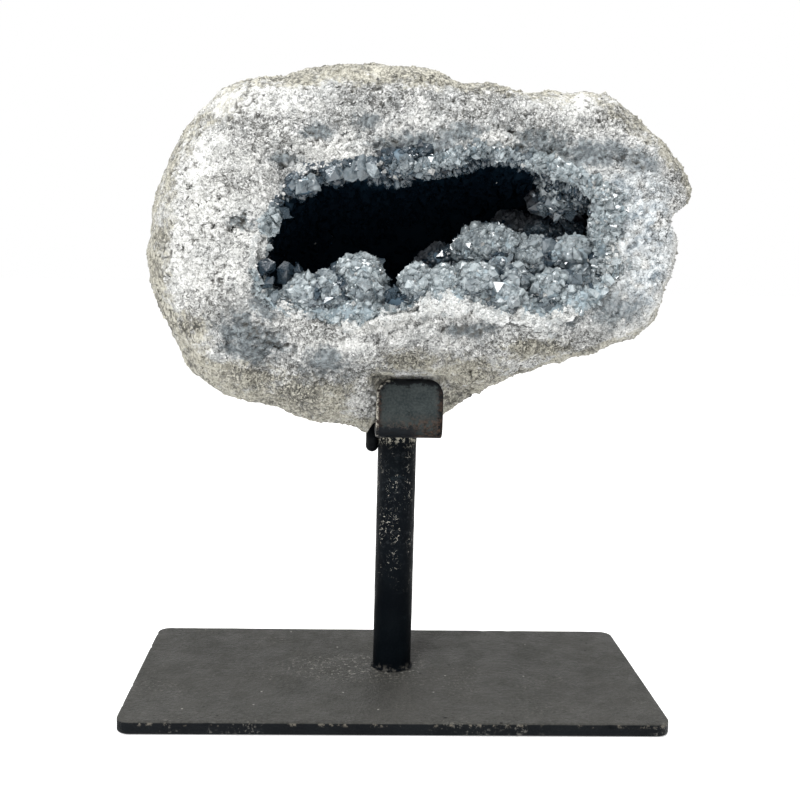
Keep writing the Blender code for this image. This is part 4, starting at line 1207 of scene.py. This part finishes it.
def rock_material():
    n = Nodes(bpy.data.materials.new("geode rock"))
    pit, blue, tan, grey, mass, chalk = (n.attribute(look) for look in ("pit", *ROCK_LOOKS))
    colour = white_grain_colour(n, chalk)
    dark_beige = n.mix(n.cloud(0.022, 4, 0.42, 0.58, rough=0.6), (0.070, 0.065, 0.048), (0.24, 0.228, 0.182))
    streaks = n.cloud(0.0026, 4, 0.43, 0.56, rough=0.7, stretch=(1.0, 1.0, 0.45), swirl=1.6)
    beige = n.mix(streaks, dark_beige, (0.52, 0.50, 0.42))
    colour = n.cover(colour, beige, n.patch(n.minus(tan, n.times(chalk, 0.5)), 0.0055), 0.9)
    blue_share = n.times(n.patch(blue, 0.0060), 0.92)
    blue_colour = n.mix(n.cloud(0.0025, 3, 0.4, 0.65), (0.058, 0.074, 0.084), (0.22, 0.255, 0.270))
    colour = n.mix(blue_share, colour, blue_colour)
    icy = n.mix(n.cloud(0.003, 3, 0.38, 0.60), (0.24, 0.29, 0.33), (0.72, 0.755, 0.77))
    mass_share = n.times(mass, n.cloud(0.006, 3, 0.34, 0.54))
    colour = n.mix(mass_share, colour, icy)
    grit = n.cloud(0.0019, 4, 0.495, 0.545, rough=0.8, swirl=1.0)
    grit = n.times(grit, n.minus(0.85, n.times(blue_share, 0.5)), n.patch(grey, 0.006))
    colour = n.mix(grit, colour, (0.060, 0.060, 0.053))
    specks = n.times(n.dots(0.0024, 0.20, 0.10), n.cloud(0.008, 3, 0.47, 0.58))
    colour = n.cover(colour, (0.040, 0.040, 0.036), specks, 0.85)
    dirt = n.times(n.dots(0.0014, 0.24, 0.12), n.cloud(0.012, 4, 0.41, 0.55, rough=0.65))
    colour = n.cover(colour, (0.085, 0.080, 0.066), dirt, 0.8)
    colour = n.mix(n.ramp(pit, 0.15, 0.85, 0.0, 0.85), colour, (0.10, 0.098, 0.088))
    wet = n.plus(blue_share, n.times(mass_share, 0.7))
    n.surface({"Base Color": colour, "Roughness": n.ramp(wet, 0.0, 0.7, 0.88, 0.28)})
    n.bump(n.plus(n.noise(0.0011, 4, 0.7), n.times(n.cells(0.0021), 0.6)), 0.0009)
    return n.owner


CRYSTAL_IOR = 1.62
ABSORPTION = {"Color": (0.55, 0.66, 0.72), "Density": 160}
CLEAR_COLOURS = ((0.23, 0.280, 0.300), (0.66, 0.73, 0.755))
MILKY_COLOURS = ((0.14, 0.180, 0.205), (0.34, 0.400, 0.430))


def crystal_material(name, clear, pale_colours, dark, sheen):
    """Milky pale blue in daylight; painted shade makes it slate blue in shade and nearly black deep inside.
    """
    n = Nodes(bpy.data.materials.new(name))
    depth, tint, white = (n.attribute(look) for look in ("depth", "tint", "white"))
    pale = n.mix(tint, *pale_colours)
    veil = n.cloud(0.0065, 5, 0.44, 0.60, rough=0.65, swirl=1.5)
    pale = n.cover(pale, tuple(1.25 * value for value in pale_colours[1]), veil, 0.6)
    murk = n.cloud(0.0050, 4, 0.52, 0.40, rough=0.7, swirl=1.0)
    pale = n.cover(pale, tuple(0.55 * value for value in pale_colours[0]), murk, 0.55)
    pale = n.mix(white, pale, white_grain_colour(n, 0.4))
    # Painted shade: slate blue where the crystals lie in shade, nearly black deep in the hollow.
    slate = n.mix(tint, (0.040, 0.066, 0.092), (0.090, 0.130, 0.165))
    colour = n.mix(n.ramp(depth, 0.0, 0.55), pale, slate)
    colour = n.mix(n.ramp(depth, 0.45, 0.95), colour, dark)
    rough = n.most(n.ramp(n.noise(0.0035, 2), 0.3, 0.7, 0.06, 0.24), n.times(white, 0.7))
    rough = n.most(rough, n.ramp(depth, 0.5, 1.0, 0.0, 0.7))
    n.surface({"Base Color": colour, "Roughness": rough, "Specular IOR Level": sheen})
    n.surface({"IOR": CRYSTAL_IOR, "Transmission Weight": clear})
    if clear:
        absorption = n.add("ShaderNodeVolumeAbsorption", ABSORPTION)
        n.feed(n.tree.nodes["Material Output"], {"Volume": absorption.outputs["Volume"]})
    n.bump(n.noise(0.0006, 2), 0.00006)
    return n.owner


def start_steel(name, sheen=0.05):
    """Thin black paint or dark mill scale with scuffs."""
    n = Nodes(bpy.data.materials.new(name))
    colour = n.mix(n.cloud(0.03, 4, 0.35, 0.65), (0.0030, 0.0038, 0.0050), (0.0070, 0.0078, 0.0088))
    scuff = n.cloud(0.004, 4, 0.58, 0.74, rough=0.65, stretch=(0.25, 1.0, 1.0))
    colour = n.cover(colour, (0.045, 0.045, 0.044), scuff, n.cloud(0.05, 2, 0.45, 0.65))
    n.surface({"Specular IOR Level": sheen, "Roughness": n.ramp(n.noise(0.012, 4), 0.3, 0.7, 0.38, 0.58)})
    return n, colour


def finish_steel(n, colour):
    n.surface({"Base Color": colour})
    n.bump(n.plus(n.noise(0.0012, 3), n.times(n.noise(0.006, 2), 1.5)), 0.00015)
    return n.owner


def plate_material():
    """Black paint with painted sheen on top, dust, scratches, tiny dents, pale grit round the post and
    chipped edges.
    """
    n, colour = start_steel("plate paint", sheen=0.08)
    colour = n.mix(1.0, colour, (0.50, 0.62, 0.72), "MULTIPLY")
    # Painted sheen: the top is lighter than the sides, standing in for the bright surroundings it reflects,
    # with fine pale speckle.
    top = n.mix(n.cloud(0.016, 4, 0.30, 0.70, rough=0.6), (0.033, 0.033, 0.030), (0.050, 0.049, 0.045))
    top = n.cover(top, (0.085, 0.084, 0.078), n.cloud(0.0016, 4, 0.36, 0.64, rough=0.75), 0.55)
    on_top = n.ramp(n.axis("Z"), PLATE_THICKNESS - 0.0012, PLATE_THICKNESS - 0.0004)
    colour = n.mix(on_top, colour, top)
    scratch = n.cloud(0.0060, 5, 0.60, 0.66, rough=0.75, stretch=(0.5, 1.6, 1.0), swirl=2.5)
    scratch_zone = n.most(n.times(n.ramp(n.axis("X"), -0.050, -0.105), 0.9), n.cloud(0.045, 2, 0.52, 0.62))
    colour = n.cover(colour, (0.16, 0.16, 0.15), scratch, scratch_zone, on_top, 0.55)
    aside = n.times(n.plus(n.axis("X"), 0.018), 0.50)
    behind = n.minus(n.axis("Y"), POST_Y - 0.004)
    near_post = n.ramp(n.plus(n.times(aside, aside), n.times(behind, behind)), 0.0006, 0.00008)
    dust_zone = n.most(near_post, n.times(n.cloud(0.025, 4, 0.54, 0.64), 0.35))
    dust = n.cloud(0.0017, 4, 0.56, 0.62, rough=0.75)
    colour = n.cover(colour, (0.30, 0.29, 0.26), dust, dust_zone, 0.75)
    colour = n.cover(colour, (0.42, 0.41, 0.38), n.dots(0.0120, 0.055, 0.030), on_top, 0.8)
    colour = n.cover(colour, (0.004, 0.004, 0.004), n.dots(0.0140, 0.065, 0.040), 0.9)
    at_rim = n.times(n.ramp(n.axis("Z"), 0.0036, 0.0054), n.minus(1.0, on_top))
    chipped = n.cloud(0.0050, 4, 0.55, 0.62, rough=0.75)
    n.surface({"Base Color": n.cover(colour, (0.16, 0.145, 0.12), chipped, at_rim, 0.75)})
    n.bump(n.noise(0.0024, 4, 0.7), 0.0011)
    return n.owner


def post_material():
    """Black paint, chipped in specks over the upper two thirds, dusty under the tab and at the foot."""
    n, colour = start_steel("post paint", sheen=0.03)
    colour = n.mix(1.0, colour, (0.42, 0.60, 0.72), "MULTIPLY")
    height = n.axis("Z")
    upper = n.ramp(height, 0.045, 0.080)
    specks = n.cloud(0.0019, 4, 0.590, 0.625, rough=0.8, swirl=1.0)
    zone = n.cloud(0.0070, 4, 0.47, 0.56, rough=0.6, stretch=(1.0, 1.0, 0.40))
    colour = n.cover(colour, (0.40, 0.385, 0.34), specks, zone, upper, 0.9)
    colour = n.cover(colour, (0.12, 0.13, 0.14), n.cloud(0.0022, 5, 0.52, 0.64, rough=0.8), upper, 0.10)
    dusty = n.times(n.ramp(height, 0.1205, 0.1270), n.cloud(0.0022, 4, 0.53, 0.58, rough=0.7))
    colour = n.cover(colour, (0.42, 0.40, 0.33), dusty, 0.8)
    foot = n.times(n.ramp(height, 0.0105, 0.0080), n.cloud(0.0022, 3, 0.50, 0.60))
    return finish_steel(n, n.cover(colour, (0.10, 0.095, 0.085), foot, 0.5))


def bracket_material():
    """Blue-grey mill scale on the tab's face with a ragged dark border, a dark bend and rust below."""
    n, colour = start_steel("bracket steel")
    x, y, height = n.axis("X"), n.axis("Y"), n.axis("Z")
    from_middle = n.math("ABSOLUTE", n.minus(x, BRACKET_X))
    ragged = n.times(n.minus(n.noise(0.0026, 5, 0.8), 0.5), 0.0085)
    # How far the place is from the middle of the tab's rounded corners, equal to their radius at the edge.
    aside = n.most(n.minus(from_middle, BRACKET_WIDTH / 2 - TAB_CORNER_RADIUS), 0.0)
    above = n.most(n.minus(height, TAB_TOP_Z - TAB_CORNER_RADIUS), 0.0)
    rim = n.math("SQRT", n.plus(n.times(aside, aside), n.times(above, above)))
    inside = n.ramp(n.plus(rim, ragged), TAB_CORNER_RADIUS - 0.0018, TAB_CORNER_RADIUS - 0.0030)
    worn = n.mix(n.cloud(0.008, 4, 0.35, 0.65), (0.019, 0.025, 0.026), (0.031, 0.038, 0.038))
    worn = n.cover(worn, (0.062, 0.070, 0.070), n.cloud(0.0011, 3, 0.40, 0.62, rough=0.7), 0.35)
    colour = n.cover(colour, worn, inside, n.ramp(y, -0.0205, -0.0230))
    beside = n.ramp(rim, TAB_CORNER_RADIUS - 0.0048, TAB_CORNER_RADIUS - 0.0008)
    beside = n.times(beside, 0.85, n.ramp(height, 0.1560, 0.1500))
    below = n.times(n.ramp(height, 0.1440, 0.1365), n.ramp(x, -0.010, 0.014, 0.35, 1.0))
    rust = n.times(n.most(below, beside), n.cloud(0.0022, 5, 0.42, 0.54, rough=0.8))
    rusty = n.mix(n.cloud(0.0013, 3, 0.40, 0.62, rough=0.7), (0.014, 0.011, 0.009), (0.058, 0.037, 0.027))
    colour = n.cover(colour, rusty, rust, 0.9)
    bend = n.times(n.ramp(n.plus(height, ragged), 0.1368, 0.1352), n.ramp(x, 0.012, 0.004))
    colour = n.cover(colour, (0.006, 0.0075, 0.0095), bend, 0.9)
    stain = n.cloud(0.0034, 5, 0.60, 0.66, rough=0.75, stretch=(0.5, 1.0, 1.5))
    colour = n.cover(colour, (0.008, 0.008, 0.008), stain, 0.75)
    left_edge = n.ramp(rim, TAB_CORNER_RADIUS - 0.0016, TAB_CORNER_RADIUS - 0.0004)
    left_edge = n.times(left_edge, n.ramp(x, -0.0030, -0.0060), n.ramp(y, -0.0200, -0.0215))
    grit = n.cloud(0.0020, 4, 0.48, 0.54, rough=0.75)
    return finish_steel(n, n.cover(colour, (0.40, 0.38, 0.33), left_edge, grit, 0.85))


def floor_material():
    n = Nodes(bpy.data.materials.new("pale floor"))
    colour = n.mix(n.cloud(0.8, 2, 0.3, 0.7), (0.86, 0.86, 0.86), (0.88, 0.88, 0.88))
    n.surface({"Base Color": colour, "Roughness": 0.9, "Emission Color": (1, 1, 1), "Emission Strength": 0.5})
    return n.owner


# Camera, lights and floor


def camera_axes():
    yaw, pitch, roll = (math.radians(a) for a in (CAMERA_YAW, CAMERA_PITCH, CAMERA_ROLL))
    ahead = Vector((-math.sin(yaw) * math.cos(pitch), math.cos(yaw) * math.cos(pitch), -math.sin(pitch)))
    right = Vector((math.cos(yaw), math.sin(yaw), 0))
    up = right.cross(ahead)
    return right * math.cos(roll) + up * math.sin(roll), up * math.cos(roll) - right * math.sin(roll), ahead


def make_camera():
    right, up, ahead = camera_axes()
    data = bpy.data.cameras.new("camera")
    data.sensor_width = SENSOR_MM
    data.lens = FOCAL_PIXELS * SENSOR_MM / FRAME_PIXELS
    data.clip_start = 0.01
    camera = put_in_scene("camera", data)
    rotation = Matrix((right, up, -ahead)).transposed()
    camera.matrix_world = Matrix.Translation(CAMERA_PLACE) @ rotation.to_4x4()
    bpy.context.scene.camera = camera


def make_light(name, place, size, power):
    """A soft light that looks at the middle of the stone."""
    data = bpy.data.lights.new(name, "AREA")
    data.shape = "RECTANGLE"
    data.size, data.size_y = size
    data.energy = power
    light = put_in_scene(name, data)
    light.location = place
    light.rotation_euler = (LIGHT_TARGET - Vector(place)).to_track_quat("-Z", "Y").to_euler()


def make_studio():
    world = bpy.data.worlds.new("studio")
    n = Nodes(world)
    back = n.add("ShaderNodeSeparateXYZ", {0: n.coordinates["Generated"]}).outputs["Y"]
    n.feed(n.tree.nodes["Background"], {"Strength": n.ramp(back, 0.2, 0.8, 0.55, 1.0), "Color": (1, 1, 1)})
    bpy.context.scene.world = world
    make_light("top", (0.10, -0.10, 1.30), (0.8, 0.6), 9)
    make_light("key", (-0.45, -0.85, 1.05), (0.45, 0.45), 15)
    mesh = bpy.data.meshes.new("floor")
    corners = ((-1, -1), (1, -1), (1, 1), (-1, 1))
    mesh.from_pydata([(x * FLOOR_REACH, y * FLOOR_REACH, FLOOR_Z) for x, y in corners], [], [(0, 1, 2, 3)])
    mesh.materials.append(floor_material())
    floor = put_in_scene("floor", mesh)
    bpy.context.scene.view_settings.view_transform = "Standard"


def main():
    make_camera()
    make_studio()
    rock_look = rock_material()
    face = make_rock(rock_look)
    clear = crystal_material("celestite clear", 0.5, CLEAR_COLOURS, (0.012, 0.020, 0.030), 0.5)
    milky = crystal_material("celestite in shade", 0.0, MILKY_COLOURS, (0.0030, 0.0095, 0.0175), 0.03)
    crust = make_crust(milky)
    grow_mounds(milky, clear)
    make_all_grains(face, crust, rock_look)
    grow_crystals(crust, clear, milky)
    grow_large_crystals(clear)
    grow_hanging_crystals(crust, clear)
    make_plate(plate_material())
    make_post(post_material())
    make_bracket(bracket_material())
    make_rod(finish_steel(*start_steel("prong paint")))


main()
